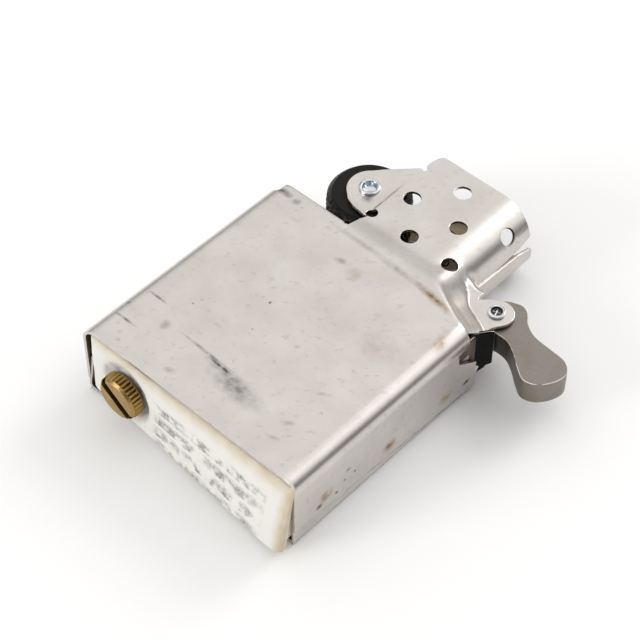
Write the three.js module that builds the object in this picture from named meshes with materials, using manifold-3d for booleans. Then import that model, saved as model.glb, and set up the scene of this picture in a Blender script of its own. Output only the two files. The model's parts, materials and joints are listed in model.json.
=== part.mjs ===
// Inside unit of a flip-top petrol lighter, lying on its back face.
// Millimetres. +Z points out of the front panel, +Y from the felt end to the chimney,
// +X toward the side that carries the lid cam. The model is drawn with y = 0 at the open
// felt end, then moved so that the origin is the middle of the back panel's outer face.

import * as THREE from 'three';
import { mergeVertices } from 'three/addons/utils/BufferGeometryUtils.js';
import Module from 'manifold-3d';

const wasm = await Module();
wasm.setup();

// Driving dimensions.

const width = 35.6; // across the body
const thickness = 11.8; // front face to back face
const panelTop = 34.4; // front and back panels end here and bend in toward the chimney
const sheet = 0.45; // stainless strip
const cornerRadius = 1.6;
const overlapGap = 0.08; // between the two layers of the narrow sides
const seamZ = 1.75; // lower edge of the front shell's side flanges
const innerFlangeTop = 6.0; // upper edge of the rear shell's hidden flanges
const camSideTop = 32.4;
const wheelSideTop = 33.0;

const wallInset = 0.95; // chimney wall below the panel
const wallFoot = 35.7; // where the bend reaches the chimney wall
const chimneyTop = 53;
const chimneyLeft = -5.2;
const roundX = 5.5; // axis of the chimney's round end
const roundBottom = 40.6; // lower edge of the round end
const seamHalfAngle = 0.2; // half of the open seam in the round end, radians
const holeRadius = 1.18;
const flatHoles = [[1.1, 39], [7.9, 39], [-3.1, 44.4], [4.7, 44.4], [1.1, 49.6]];
const roundHole = { y: 48.9, angle: 0.68 };
const earReliefs = [39.2, 49.5]; // at the chimney's wheel-side edge

const wheelX = -8.5;
const wheelY = 42.2;
const wheelRadius = 5.8;
const wheelRimBelow = 0.15; // the side rings are this much smaller than the toothed band
const wheelBore = 1.45;
const toothDepth = 0.3;
const wheelHalfWidth = 4.1;
const toothBandHalfWidth = 2.9;
const toothCount = 44;
const wheelEarRadius = 3.25;
const wheelEarStep = 0.25; // the ear is pressed in from the chimney wall

const camX = 16.2;
const camY = 38.35;
const camEarRadius = 2.25;
const camEarZ = 8.4; // outer face of the front cam ear
const leverThickness = 3.5;
const shoulderStart = 9; // the panel falls away to the cam ear from here outward

const deckY = 32.7; // lower face of the deck plate
const tubeX = -9.9;
const wickX = 2.6;
const wickRadius = 2.0;
const wickBottom = 8;
const wickTop = 46;
const wickWire = { diameter: 0.22, bottom: 35.6, top: 44.6, turns: 5 };

const screwHeadRadius = 3.1;
const screwHeadFace = -2.3;
const screwHeadThickness = 2.1;
const knurlTeeth = 40;
const knurlDepth = 0.22;
const slotAngle = -0.65;
const slotHalfWidth = 0.45;
const slotDepth = 1.1;
const thread = { root: 1.3, crest: 1.55, start: 1.35, pitch: 0.5, turns: 9, tip: 6.2 };

const feltThickness = 2.9;
const feltSplit = -5.45; // the flap folds here
const feltInset = 0.8; // from the front and back faces
const padTop = 0.1; // the pad lies just inside the rim
const flapTop = -1.3; // the flap stands proud of it

const middle = thickness / 2;
const half = width / 2;
const wallZ = thickness - wallInset;
const roundRadius = wallZ - middle;

// Materials.

function metal(color, roughness) {
  return new THREE.MeshStandardMaterial({ color, roughness, metalness: 1 });
}

function soft(color) {
  return new THREE.MeshStandardMaterial({ color, roughness: 0.95, metalness: 0 });
}

const stainless = () => metal(0xc9c2bf, 0.38);
const brass = () => metal(0xb08a4a, 0.4);
const zinc = () => metal(0xd8dade, 0.25);

// Solids.

function toSolid(geometry) {
  const bare = geometry.clone();
  bare.deleteAttribute('normal');
  bare.deleteAttribute('uv');
  const merged = mergeVertices(bare, 1e-4);
  return new wasm.Manifold(new wasm.Mesh({
    numProp: 3,
    vertProperties: Float32Array.from(merged.attributes.position.array),
    triVerts: Uint32Array.from(merged.index.array),
  }));
}

function toGeometry(solid) {
  const mesh = solid.getMesh();
  const geometry = new THREE.BufferGeometry();
  geometry.setAttribute('position', new THREE.BufferAttribute(mesh.vertProperties, 3));
  geometry.setIndex(new THREE.BufferAttribute(mesh.triVerts, 1));
  geometry.computeVertexNormals();
  return geometry;
}

function joined(solids) {
  return solids.reduce((sum, solid) => sum.add(solid));
}

function without(solid, cutters) {
  return cutters.reduce((rest, cutter) => rest.subtract(cutter), solid);
}

function shapeOf(points) {
  return new THREE.Shape(points.map(([a, b]) => new THREE.Vector2(a, b)));
}

function extruded(points, depth) {
  return new THREE.ExtrudeGeometry(shapeOf(points), { depth, bevelEnabled: false });
}

// An outline in the XY plane, from z0 up to z1.
function alongZ(points, z0, z1) {
  const geometry = extruded(points, z1 - z0);
  geometry.translate(0, 0, z0);
  return toSolid(geometry);
}

// A section in the XZ plane, from y0 to y1.
function alongY(points, y0, y1) {
  const geometry = extruded(points, y1 - y0);
  geometry.rotateX(Math.PI / 2);
  geometry.translate(0, y1, 0);
  return toSolid(geometry);
}

// A section in the YZ plane, from x0 to x1.
function alongX(points, x0, x1) {
  const geometry = extruded(points, x1 - x0);
  geometry.rotateX(Math.PI / 2);
  geometry.rotateZ(Math.PI / 2);
  geometry.translate(x0, 0, 0);
  return toSolid(geometry);
}

function block(x0, x1, y0, y1, z0, z1) {
  const geometry = new THREE.BoxGeometry(x1 - x0, y1 - y0, z1 - z0);
  geometry.translate((x0 + x1) / 2, (y0 + y1) / 2, (z0 + z1) / 2);
  return toSolid(geometry);
}

function arc(cx, cy, radius, from, to, steps) {
  return Array.from({ length: steps + 1 }, (_, i) => {
    const angle = from + ((to - from) * i) / steps;
    return [cx + radius * Math.cos(angle), cy + radius * Math.sin(angle)];
  });
}

function circle(cx, cy, radius, steps) {
  return arc(cx, cy, radius, 0, 2 * Math.PI, steps).slice(0, steps);
}

function roundedRectangle(x0, x1, y0, y1, radius, steps) {
  const quarter = Math.PI / 2;
  return [
    ...arc(x1 - radius, y1 - radius, radius, 0, quarter, steps),
    ...arc(x0 + radius, y1 - radius, radius, quarter, 2 * quarter, steps),
    ...arc(x0 + radius, y0 + radius, radius, 2 * quarter, 3 * quarter, steps),
    ...arc(x1 - radius, y0 + radius, radius, 3 * quarter, 4 * quarter, steps),
  ];
}

// The section of a bent strip: its outer line, then the same line moved in by the thickness.
function strip(line, t) {
  const inner = line.map((point, i) => {
    const before = line[Math.max(i - 1, 0)];
    const after = line[Math.min(i + 1, line.length - 1)];
    const a = new THREE.Vector2(point[0] - before[0], point[1] - before[1]).normalize();
    const b = new THREE.Vector2(after[0] - point[0], after[1] - point[1]).normalize();
    const along = a.clone().add(b).normalize();
    const reach = t / Math.max(along.dot(i === 0 ? b : a), 0.5);
    return [point[0] + along.y * reach, point[1] - along.x * reach];
  });
  return [...line, ...inner.reverse()];
}

// A turned piece: radius and height pairs about the Z axis.
function turned(profile, steps) {
  const points = profile.map(([radius, height]) => new THREE.Vector2(radius, height));
  const geometry = new THREE.LatheGeometry(points, steps);
  geometry.rotateX(Math.PI / 2);
  return geometry;
}

function turnedAtZ(profile, x, y, steps) {
  const geometry = turned(profile, steps);
  geometry.translate(x, y, 0);
  return toSolid(geometry);
}

function turnedAtY(profile, x, z, steps) {
  const points = profile.map(([radius, height]) => new THREE.Vector2(radius, height));
  const geometry = new THREE.LatheGeometry(points, steps);
  geometry.translate(x, 0, z);
  return toSolid(geometry);
}

function mirrored(solid) {
  return solid.scale([1, 1, -1]).translate([0, 0, thickness]);
}

// Shells.

// The chimney half, both ears and the shoulder above the cam, as seen from the front.
function chimneyHalf() {
  const far = 60;
  const bend = strip(
    [[33, thickness], [panelTop, thickness], [wallFoot, wallZ], [chimneyTop, wallZ]],
    sheet,
  );
  const wallOutline = [
    [-half + 1.2, 33.4],
    [shoulderStart, 33.4],
    [shoulderStart + 0.5, 36],
    [roundX + 2.5, roundBottom],
    [roundX, roundBottom],
    [roundX, chimneyTop],
    [chimneyLeft + 0.9, chimneyTop],
    [chimneyLeft, chimneyTop - 0.9],
    [chimneyLeft, wallFoot - 0.3],
    [chimneyLeft - 0.6, 35],
    [-half + 1.2, 35],
  ];
  const wall = alongX(bend, -half, half).intersect(alongZ(wallOutline, 0, far));

  const quarterTurn = Math.PI / 2;
  const roundLine = arc(roundX, middle, roundRadius, quarterTurn, seamHalfAngle, 9);
  const roundSection = strip([[roundX - 1, wallZ], ...roundLine], sheet);
  const roundEnd = alongY(roundSection, roundBottom, chimneyTop);

  const flareStart = 8;
  const flareLine = [
    [flareStart, wallZ],
    [9.6, wallZ],
    [12.6, camEarZ],
    [camX + camEarRadius + 1, camEarZ],
  ];
  const flareOutline = [
    [flareStart, 35.2],
    [camX + 1.75, 36.3],
    ...arc(camX, camY, camEarRadius, -0.6, 2.2, 12),
    [12.4, roundBottom - 0.2],
    [flareStart, roundBottom + 0.3],
  ];
  const flareSheet = alongY(strip(flareLine, sheet), 34, 42);
  const flare = flareSheet.intersect(alongZ(flareOutline, 0, far));

  const shoulderLine = [[32.6, thickness], [33.6, thickness], [37.4, camEarZ], [38.4, camEarZ]];
  const shoulderOutline = [
    [shoulderStart, 33.2],
    [13.4, 32.8],
    [half, 31.4],
    [half, 36.6],
    [13.2, 38.2],
    [shoulderStart, 36.5],
  ];
  const shoulderSheet = alongX(strip(shoulderLine, sheet), shoulderStart - 0.4, half);
  const shoulder = shoulderSheet.intersect(alongZ(shoulderOutline, 0, far));

  const earZ = wallZ - wheelEarStep;
  const earOutline = [
    [chimneyLeft - 0.1, 36.9],
    [chimneyLeft - 0.1, 48.4],
    ...arc(wheelX, wheelY, wheelEarRadius, 1.95, 4.35, 14),
  ];
  const wheelEar = alongZ(earOutline.reverse(), earZ - sheet, earZ);
  const step = block(chimneyLeft - 0.2, chimneyLeft + 0.35, 37.4, 51, earZ - sheet, wallZ);

  const punch = (x, y, radius) => alongZ(circle(x, y, radius, 20), middle + 1, far);
  const holes = flatHoles.map(([x, y]) => punch(x, y, holeRadius));
  const reliefs = earReliefs.map((y) => punch(chimneyLeft, y, holeRadius));
  const pins = [punch(wheelX, wheelY, 1.4), punch(camX, camY, 0.95)];
  const drill = turned([[0, 3], [holeRadius, 3], [holeRadius, 8], [0, 8]], 20);
  drill.rotateY(quarterTurn - roundHole.angle);
  drill.translate(roundX, roundHole.y, middle);
  const plates = joined([wall, roundEnd, flare, shoulder, wheelEar, step]);
  return without(plates, [...holes, ...reliefs, ...pins, toSolid(drill)]);
}

// What is cut from the top of either shell: both narrow sides, and the panel above the cam.
function sideTrims() {
  const panel = [[half + 1, 31.2], [shoulderStart, 34.2], [shoulderStart, 36], [half + 1, 36]];
  return [
    block(half - cornerRadius, half + 1, camSideTop, panelTop + 1, -1, thickness + 1),
    block(-half - 1, -half + cornerRadius, wheelSideTop, panelTop + 1, -1, thickness + 1),
    alongZ(panel, -1, thickness + 1),
  ];
}

function frontShell() {
  const outer = roundedRectangle(-half, half, -thickness, thickness, cornerRadius, 6);
  const inner = roundedRectangle(
    -half + sheet, half - sheet, -thickness, thickness - sheet, cornerRadius - sheet, 6);
  const ring = alongY(outer, 0, panelTop).subtract(alongY(inner, -1, panelTop + 1));
  const channel = without(ring, [
    block(-half - 1, half + 1, -1, panelTop + 1, -2 * thickness, seamZ),
    ...sideTrims(),
  ]);
  return joined([channel, chimneyHalf()]);
}

function rearShell() {
  const lip = seamZ - 0.15;
  const bendRadius = 1.1;
  const outer = roundedRectangle(-half, half, 0, 2 * thickness, bendRadius, 5);
  const inner = roundedRectangle(
    -half + sheet, half - sheet, sheet, 2 * thickness, bendRadius - 0.4, 5);
  const ring = alongY(outer, 0, panelTop).subtract(alongY(inner, -1, panelTop + 1));
  const channel = without(ring, [
    block(-half - 1, half + 1, -1, panelTop + 1, lip, 3 * thickness),
    ...sideTrims(),
  ]);
  const flangeOuter = half - sheet - overlapGap;
  const flangeInner = flangeOuter - sheet;
  const bottom = 0.3;
  const camTop = camSideTop - 0.2;
  const wheelTop = wheelSideTop - 0.2;
  const flanges = [
    block(flangeInner, flangeOuter, bottom, camTop, lip - sheet, innerFlangeTop),
    block(flangeInner, half - 0.2, bottom, camTop, lip - sheet, lip),
    block(-flangeOuter, -flangeInner, bottom, wheelTop, lip - sheet, innerFlangeTop),
    block(-half + 0.2, -flangeInner, bottom, wheelTop, lip - sheet, lip),
  ];
  return joined([channel, ...flanges, mirrored(chimneyHalf())]);
}

function deckPlate() {
  const reach = half - 2 * sheet - overlapGap - 0.1;
  const rim = sheet + 0.08;
  const outline = roundedRectangle(-reach, reach, rim, thickness - rim, 1, 4);
  const plate = alongY(outline, deckY, deckY + sheet);
  const tubeHole = alongY(circle(tubeX, middle, 2.35, 24), deckY - 1, deckY + 2);
  const wickHole = alongY(circle(wickX, middle, wickRadius + 0.45, 24), deckY - 1, deckY + 2);
  const springNotch = block(15.6, half, deckY - 1, deckY + 2, 0.2, thickness - 0.2);
  return without(plate, [tubeHole, wickHole, springNotch]);
}

// Ignition.

function flintTube() {
  const mouth = { outer: 2.75, inner: 2.4, bottom: 1.2, top: 6.4 }; // widened to hold the ferrule
  const tube = { outer: 2.0, inner: 1.45, top: 36.2 };
  const profile = [
    [mouth.inner, mouth.bottom],
    [mouth.outer, mouth.bottom],
    [mouth.outer, mouth.top],
    [tube.outer, mouth.top + 1],
    [tube.outer, tube.top],
    [tube.inner, tube.top],
    [tube.inner, mouth.top + 0.7],
    [mouth.inner, mouth.top - 0.3],
    [mouth.inner, mouth.bottom],
  ];
  return turnedAtY(profile, tubeX, middle, 28);
}

function tubeFerrule() {
  const ring = { inner: 1.8, outer: 2.3, bottom: 1.3, top: 5.9 };
  const profile = [
    [ring.inner, ring.bottom],
    [ring.outer, ring.bottom],
    [ring.outer, ring.top],
    [ring.inner, ring.top],
    [ring.inner, ring.bottom],
  ];
  return turnedAtY(profile, tubeX, middle, 28);
}

function flintScrew() {
  const knurl = Array.from({ length: 2 * knurlTeeth }, (_, i) => {
    const radius = i % 2 ? screwHeadRadius - knurlDepth : screwHeadRadius;
    const angle = (i * Math.PI) / knurlTeeth;
    return [radius * Math.cos(angle), radius * Math.sin(angle)];
  });
  const headBack = screwHeadFace + screwHeadThickness;
  const head = alongY(knurl, screwHeadFace + 0.25, headBack - 0.2);
  const faceRadius = screwHeadRadius - 0.3;
  const ridges = Array.from({ length: thread.turns }, (_, i) => {
    const start = thread.start + i * thread.pitch;
    return [[thread.root, start], [thread.crest, start + thread.pitch / 2]];
  }).flat();
  const core = turnedAtY([
    [0, screwHeadFace],
    [faceRadius - 0.3, screwHeadFace],
    [faceRadius, screwHeadFace + 0.3],
    [faceRadius, headBack - 0.25],
    [faceRadius - 0.25, headBack],
    [1.45, headBack],
    ...ridges,
    [1.1, thread.tip],
    [0, thread.tip],
  ], 0, 0, 24);
  const slot = block(
    -4, 4, screwHeadFace - 1, screwHeadFace + slotDepth, -slotHalfWidth, slotHalfWidth);
  const turn = (slotAngle * 180) / Math.PI;
  return joined([head, core]).subtract(slot).rotate([0, -turn, 0]).translate([tubeX, 0, middle]);
}

function helix(radius, wire, y0, y1, turns, x, z) {
  const stepsPerTurn = 10;
  const count = turns * stepsPerTurn;
  const points = Array.from({ length: count + 1 }, (_, i) => {
    const angle = (2 * Math.PI * i) / stepsPerTurn;
    const y = y0 + ((y1 - y0) * i) / count;
    return new THREE.Vector3(x + radius * Math.cos(angle), y, z + radius * Math.sin(angle));
  });
  const section = shapeOf(circle(0, 0, wire / 2, 5));
  const extrudePath = new THREE.CatmullRomCurve3(points);
  const options = { steps: count, extrudePath, bevelEnabled: false };
  return toSolid(new THREE.ExtrudeGeometry(section, options));
}

function flintSpring() {
  const spring = { radius: 0.85, wire: 0.36, bottom: 6.65, top: 29.3, turns: 18 };
  return helix(
    spring.radius, spring.wire, spring.bottom, spring.top, spring.turns, tubeX, middle);
}

function flintPusher() {
  const cup = { radius: 1.2, tip: 0.7, bottom: 29.8, top: 31.7 };
  const profile = [
    [0, cup.bottom],
    [cup.radius, cup.bottom],
    [cup.radius, cup.top - 0.4],
    [cup.tip, cup.top],
    [0, cup.top],
  ];
  return turnedAtY(profile, tubeX, middle, 20);
}

function flint() {
  const rod = { radius: 1.22, chamfer: 0.12, bottom: 32.0, top: 36.25 };
  const profile = [
    [0, rod.bottom],
    [rod.radius - rod.chamfer, rod.bottom],
    [rod.radius, rod.bottom + rod.chamfer],
    [rod.radius, rod.top - rod.chamfer],
    [rod.radius - rod.chamfer, rod.top],
    [0, rod.top],
  ];
  return turnedAtY(profile, tubeX, middle, 20);
}

function flintWheel() {
  const teeth = Array.from({ length: 2 * toothCount }, (_, i) => {
    const radius = i % 2 ? wheelRadius - toothDepth : wheelRadius;
    const angle = ((i + (i % 2 ? -0.5 : 0)) * Math.PI) / toothCount;
    return [wheelX + radius * Math.cos(angle), wheelY + radius * Math.sin(angle)];
  });
  const band = alongZ(teeth, middle - toothBandHalfWidth, middle + toothBandHalfWidth);
  const rim = wheelRadius - wheelRimBelow;
  const chamferIn = 0.55;
  const chamferDown = 0.45;
  const upperHalf = [
    [rim - 0.5, toothBandHalfWidth],
    [rim, toothBandHalfWidth + 0.1],
    [rim, wheelHalfWidth - chamferDown],
    [rim - chamferIn, wheelHalfWidth],
    [0, wheelHalfWidth],
  ];
  const rings = turnedAtZ([
    ...upperHalf.map(([radius, reach]) => [radius, middle - reach]).reverse(),
    ...upperHalf.map(([radius, reach]) => [radius, middle + reach]),
  ], wheelX, wheelY, 44);
  const bore = alongZ(circle(wheelX, wheelY, wheelBore, 24), -1, thickness + 1);
  return joined([band, rings]).subtract(bore);
}

function tubularRivet(x, y, shank, bore, flange, flangeZ, height, steps) {
  const low = thickness - flangeZ;
  return turnedAtZ([
    [bore, low - height],
    [flange - 0.1, low - height],
    [flange, low - height + 0.15],
    [flange, low],
    [shank, low],
    [shank, flangeZ],
    [flange, flangeZ],
    [flange, flangeZ + height - 0.15],
    [flange - 0.1, flangeZ + height],
    [bore, flangeZ + height],
    [bore, low - height],
  ], x, y, steps);
}

function wheelRivet() {
  const shank = 1.2;
  const bore = 0.9;
  const flange = 1.52;
  const flangeZ = wallZ - wheelEarStep + 0.06;
  return tubularRivet(wheelX, wheelY, shank, bore, flange, flangeZ, 0.35, 28);
}

// Lid cam.

function camLever() {
  // from the nose above the pivot, out along the arm, round its foot and back
  const outline = [
    [1.1, 3.7], [2.5, 3.15], [3.7, 1.8], [5.6, 0.8], [8.3, 0.5], [10.8, 0.15],
    [12.1, -1.2], [11.9, -3.1], [10.6, -5.0], [8.8, -5.6], [7.1, -4.6], [5.2, -3.1],
    [3.4, -2.15], [1.0, -2.05], [-1.0, -1.95], [-2.0, -0.9], [-2.0, 0.9], [-1.0, 2.7],
  ].map(([x, y]) => new THREE.Vector3(camX + x, camY + y, 0));
  const curve = new THREE.CatmullRomCurve3(outline, true, 'centripetal');
  const steps = 72;
  const points = curve.getPoints(steps).slice(0, steps).map((p) => [p.x, p.y]).reverse();
  const low = middle - leverThickness / 2;
  const blank = alongZ(points, low, low + leverThickness);
  const bore = 1.0;
  return blank.subtract(alongZ(circle(camX, camY, bore, 20), -1, thickness + 1));
}

function camRivet() {
  const head = camEarZ + 0.06;
  const low = thickness - head;
  const height = 0.3;
  const shank = 0.78;
  const flange = 1.14;
  const recess = { radius: 0.5, depth: 0.22 };
  return turnedAtZ([
    [0, low - height],
    [flange - 0.19, low - height],
    [flange, low - height + 0.15],
    [flange, low],
    [shank, low],
    [shank, head],
    [flange, head],
    [flange, head + height - 0.15],
    [flange - 0.19, head + height],
    [recess.radius, head + height],
    [recess.radius, head + height - recess.depth],
    [0, head + height - recess.depth],
  ], camX, camY, 24);
}

function camSpring() {
  const leaf = 0.3;
  const foot = 14;
  const stand = half - 2 * sheet - overlapGap - 0.12 - leaf;
  const line = [[stand, foot], [stand, 32.9], [stand + 0.35, 33.5], [stand + 1.55, 35.95]];
  const leafBody = alongZ(strip(line, leaf), 0.5, thickness - 0.5);
  // height and half the leaf's width there
  const widths = [[foot, 3.2], [24, 4.2], [camSideTop - 0.5, 4.9], [33.2, 4.4], [36.2, 2.15]];
  const face = [
    ...widths.map(([y, reach]) => [y, middle - reach]),
    ...widths.map(([y, reach]) => [y, middle + reach]).reverse(),
  ];
  return leafBody.intersect(alongX(face, 10, 25));
}

// Fuel.

function wick() {
  const profile = [
    [0, wickBottom],
    [wickRadius, wickBottom],
    [wickRadius, wickTop - 0.6],
    [wickRadius - 0.5, wickTop],
    [0, wickTop],
  ];
  return turnedAtY(profile, wickX, middle, 20);
}

function wickWinding() {
  const { diameter, bottom, top, turns } = wickWire;
  return helix(wickRadius + 0.2, diameter, bottom, top, turns, wickX, middle);
}

function cottonWad([x0, x1, y0, y1]) {
  const geometry = new THREE.SphereGeometry(1, 14, 10);
  const zReach = middle - sheet - 0.35;
  geometry.scale((x1 - x0) / 2, (y1 - y0) / 2, zReach);
  geometry.translate((x0 + x1) / 2, (y0 + y1) / 2, middle);
  return toSolid(geometry);
}

// left, right, bottom and top of each wad, between the folds of the wick
const wadPlaces = [
  [5.0, 15.9, 3.0, 12.6],
  [5.0, 15.9, 12.8, 22.4],
  [5.0, 15.9, 22.6, 32.3],
  [-7.3, 0.2, 8.0, 20.0],
  [-7.3, 0.2, 20.2, 32.3],
  [-16.5, -12.4, 8.0, 32.3],
];

function feltPad() {
  const screwHole = 2.95;
  const pad = block(
    -half + 1.15, feltSplit, padTop, feltThickness - 0.2, feltInset, thickness - feltInset);
  return pad.subtract(alongY(circle(tubeX, middle, screwHole, 24), -2, 5));
}

function feltFlap() {
  return block(
    feltSplit + 0.1, half - 1.45, flapTop, flapTop + feltThickness, feltInset, thickness - feltInset);
}

// Assembly.

const lighter = new THREE.Group();
lighter.position.set(0, -panelTop / 2, 0);

function add(name, solid, material) {
  const mesh = new THREE.Mesh(toGeometry(solid), material);
  mesh.name = name;
  lighter.add(mesh);
}

add('front_shell', frontShell(), stainless());
add('rear_shell', rearShell(), stainless());
add('deck_plate', deckPlate(), stainless());
add('flint_tube', flintTube(), brass());
add('tube_ferrule', tubeFerrule(), brass());
add('flint_screw', flintScrew(), brass());
add('flint_spring', flintSpring(), metal(0x9a9a9a, 0.35));
add('flint_pusher', flintPusher(), brass());
add('flint', flint(), metal(0x4a4644, 0.6));
add('flint_wheel', flintWheel(), metal(0x2a2826, 0.55));
add('wheel_rivet', wheelRivet(), zinc());
add('cam_lever', camLever(), metal(0x7d736d, 0.45));
add('cam_rivet', camRivet(), zinc());
add('cam_spring', camSpring(), metal(0x151515, 0.4));
add('wick', wick(), soft(0xd8cdb4));
add('wick_wire', wickWinding(), metal(0xb87333, 0.4));
wadPlaces.forEach((place, i) => add(`cotton_wad_${i + 1}`, cottonWad(place), soft(0xf0ece2)));
add('felt_pad', feltPad(), soft(0xf4f1e8));
add('felt_flap', feltFlap(), soft(0xf4f1e8));

lighter.updateMatrixWorld(true);

export default lighter;
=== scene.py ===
import json
import math

import bpy
from mathutils import Matrix, Vector, noise


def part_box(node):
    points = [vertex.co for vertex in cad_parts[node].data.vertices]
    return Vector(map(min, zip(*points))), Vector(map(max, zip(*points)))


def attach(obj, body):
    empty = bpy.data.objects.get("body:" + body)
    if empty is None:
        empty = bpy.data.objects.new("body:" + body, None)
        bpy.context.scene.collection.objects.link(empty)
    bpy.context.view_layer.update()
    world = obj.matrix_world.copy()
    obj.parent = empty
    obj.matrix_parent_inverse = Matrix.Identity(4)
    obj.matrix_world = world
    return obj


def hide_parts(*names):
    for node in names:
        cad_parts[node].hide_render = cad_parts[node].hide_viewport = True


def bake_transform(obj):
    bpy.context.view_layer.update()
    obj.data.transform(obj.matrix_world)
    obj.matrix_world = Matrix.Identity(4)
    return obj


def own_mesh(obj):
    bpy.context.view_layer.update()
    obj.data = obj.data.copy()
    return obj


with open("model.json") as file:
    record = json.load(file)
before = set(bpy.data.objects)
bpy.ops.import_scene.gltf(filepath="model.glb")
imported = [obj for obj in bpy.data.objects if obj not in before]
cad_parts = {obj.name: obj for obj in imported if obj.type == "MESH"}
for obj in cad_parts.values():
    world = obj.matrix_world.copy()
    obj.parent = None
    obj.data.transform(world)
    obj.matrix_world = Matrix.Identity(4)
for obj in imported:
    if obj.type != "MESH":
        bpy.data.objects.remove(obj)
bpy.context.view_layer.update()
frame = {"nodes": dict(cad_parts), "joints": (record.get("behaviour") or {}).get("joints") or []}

# Every piece is drawn at one unit to the millimetre, with y = 0 at the open felt end and z = 0
# on the back panel, and is taken to metres in the row frame when it's finished.
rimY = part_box("front_shell")[0].y
toRow = Matrix.Translation((0, rimY, 0)) @ Matrix.Scale(0.001, 4)
toDrawing = toRow.inverted()


def nodeBox(node):
    low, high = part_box(node)
    return toDrawing @ low, toDrawing @ high


def jointPlace(name):
    joint = next(j for j in frame["joints"] if j["name"] == name)
    return toDrawing @ Vector(joint["pos_m"])


shellLow, shellHigh = nodeBox("front_shell")
casing = {
    "half": -shellLow.x,
    "thickness": shellHigh.z,
    "middle": shellHigh.z / 2,
    "sheet": 0.45,
    "chimneyTop": shellHigh.y,
    "wallZ": nodeBox("wheel_rivet")[1].z - 0.16,  # the chimney wall's outer face
    "earZ": nodeBox("cam_rivet")[1].z - 0.36,  # the cam ear's outer face
}
half = casing["half"]
thickness = casing["thickness"]
middle = casing["middle"]
wheelAxis = jointPlace("wheel_spin")
camAxis = jointPlace("cam_pivot")
screwAxis = jointPlace("screw_turn")


# modelling helpers

def selectOnly(piece):
    bpy.ops.object.select_all(action="DESELECT")
    piece.select_set(True)
    bpy.context.view_layer.objects.active = piece


def startEdit(piece):
    selectOnly(piece)
    bpy.ops.object.mode_set(mode="EDIT")
    bpy.ops.mesh.select_all(action="SELECT")


def endEdit():
    bpy.ops.object.mode_set(mode="OBJECT")


def newest(name):
    piece = bpy.context.active_object
    piece.name = name
    piece.data.name = name
    bpy.ops.object.transform_apply(location=True, rotation=True, scale=True)
    return piece


def applyModifier(piece, kind, **settings):
    selectOnly(piece)
    modifier = piece.modifiers.new(kind, kind)
    for key, value in settings.items():
        setattr(modifier, key, value)
    bpy.ops.object.modifier_apply(modifier=modifier.name)


def joinPieces(name, pieces):
    bpy.ops.object.select_all(action="DESELECT")
    for piece in pieces:
        piece.select_set(True)
    bpy.context.view_layer.objects.active = pieces[0]
    bpy.ops.object.join()
    pieces[0].name = name
    return pieces[0]


def arc(cx, cy, radius, start, end, steps):
    turns = [start + (end - start) * i / steps for i in range(steps + 1)]
    return [(cx + radius * math.cos(a), cy + radius * math.sin(a)) for a in turns]


def plate(name, outline, low, high):
    # a flat blank: a filled ring of points moved to the outline, then drawn down to its thickness
    bpy.ops.mesh.primitive_circle_add(vertices=len(outline), fill_type="NGON")
    piece = newest(name)
    for vertex, (x, y) in zip(piece.data.vertices, outline):
        vertex.co = (x, y, high)
    startEdit(piece)
    bpy.ops.mesh.extrude_region_move(TRANSFORM_OT_translate={"value": (0, 0, low - high)})
    bpy.ops.mesh.select_all(action="SELECT")
    bpy.ops.mesh.normals_make_consistent(inside=False)
    endEdit()
    return piece


def turned(name, profile, steps, axis="Z", at=(0, 0, 0)):
    # a lathe piece: radius and height pairs spun about the axis
    bpy.ops.mesh.primitive_circle_add(vertices=len(profile), fill_type="NOTHING")
    piece = newest(name)
    for vertex, (radius, height) in zip(piece.data.vertices, profile):
        vertex.co = (radius, 0, height)
    startEdit(piece)
    bpy.ops.mesh.spin(steps=steps, angle=2 * math.pi, center=(0, 0, 0), axis=(0, 0, 1))
    bpy.ops.mesh.select_all(action="SELECT")
    bpy.ops.mesh.remove_doubles(threshold=0.0005)
    bpy.ops.mesh.dissolve_degenerate(threshold=0.0005)
    bpy.ops.mesh.delete_loose()
    bpy.ops.mesh.select_all(action="SELECT")
    bpy.ops.mesh.normals_make_consistent(inside=False)
    endEdit()
    if axis == "Y":
        piece.data.transform(Matrix.Rotation(-math.pi / 2, 4, "X"))
    piece.data.transform(Matrix.Translation(at))
    return piece


def cutAway(piece, cutters):
    tool = joinPieces("cutter", cutters) if len(cutters) > 1 else cutters[0]
    applyModifier(piece, "BOOLEAN", operation="DIFFERENCE", solver="EXACT", object=tool)
    bpy.data.objects.remove(tool)


def drill(x, y, radius, z=0, depth=6, sides=40):
    bpy.ops.mesh.primitive_cylinder_add(vertices=sides, radius=radius, depth=depth, location=(x, y, z))
    return newest("drill")


def score(piece, axis, places):
    # straight cuts right across, so that the sheet can be bent between them
    normal = Vector([float(axis == a) for a in "xyz"])
    startEdit(piece)
    for place in places:
        bpy.ops.mesh.select_all(action="SELECT")
        bpy.ops.mesh.bisect(plane_co=normal * place, plane_no=normal)
    endEdit()


def bend(piece, surface):
    # u, v and depth in the flat sheet become a point on the surface and a distance below it
    step = 0.02
    for vertex in piece.data.vertices:
        u, v, depth = vertex.co
        along = Vector(surface(u + step, v)) - Vector(surface(u - step, v))
        up = Vector(surface(u, v + step)) - Vector(surface(u, v - step))
        vertex.co = Vector(surface(u, v)) + along.cross(up).normalized() * depth


def spread(start, end, step):
    count = max(1, round((end - start) / step))
    return [start + (end - start) * i / count for i in range(count + 1)]


def smoothStep(value):
    t = min(1, max(0, value))
    return t * t * (3 - 2 * t)


def softMax(a, b, width):
    # the larger of two, with a rounded corner of that width where they meet
    overlap = max(width - abs(a - b), 0) / width
    return max(a, b) + overlap * overlap * width / 4


def giveMaterials(piece, materials):
    # given before any edge is rounded, so the rounding can carry a material of its own
    for material in materials:
        piece.data.materials.append(material)


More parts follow.
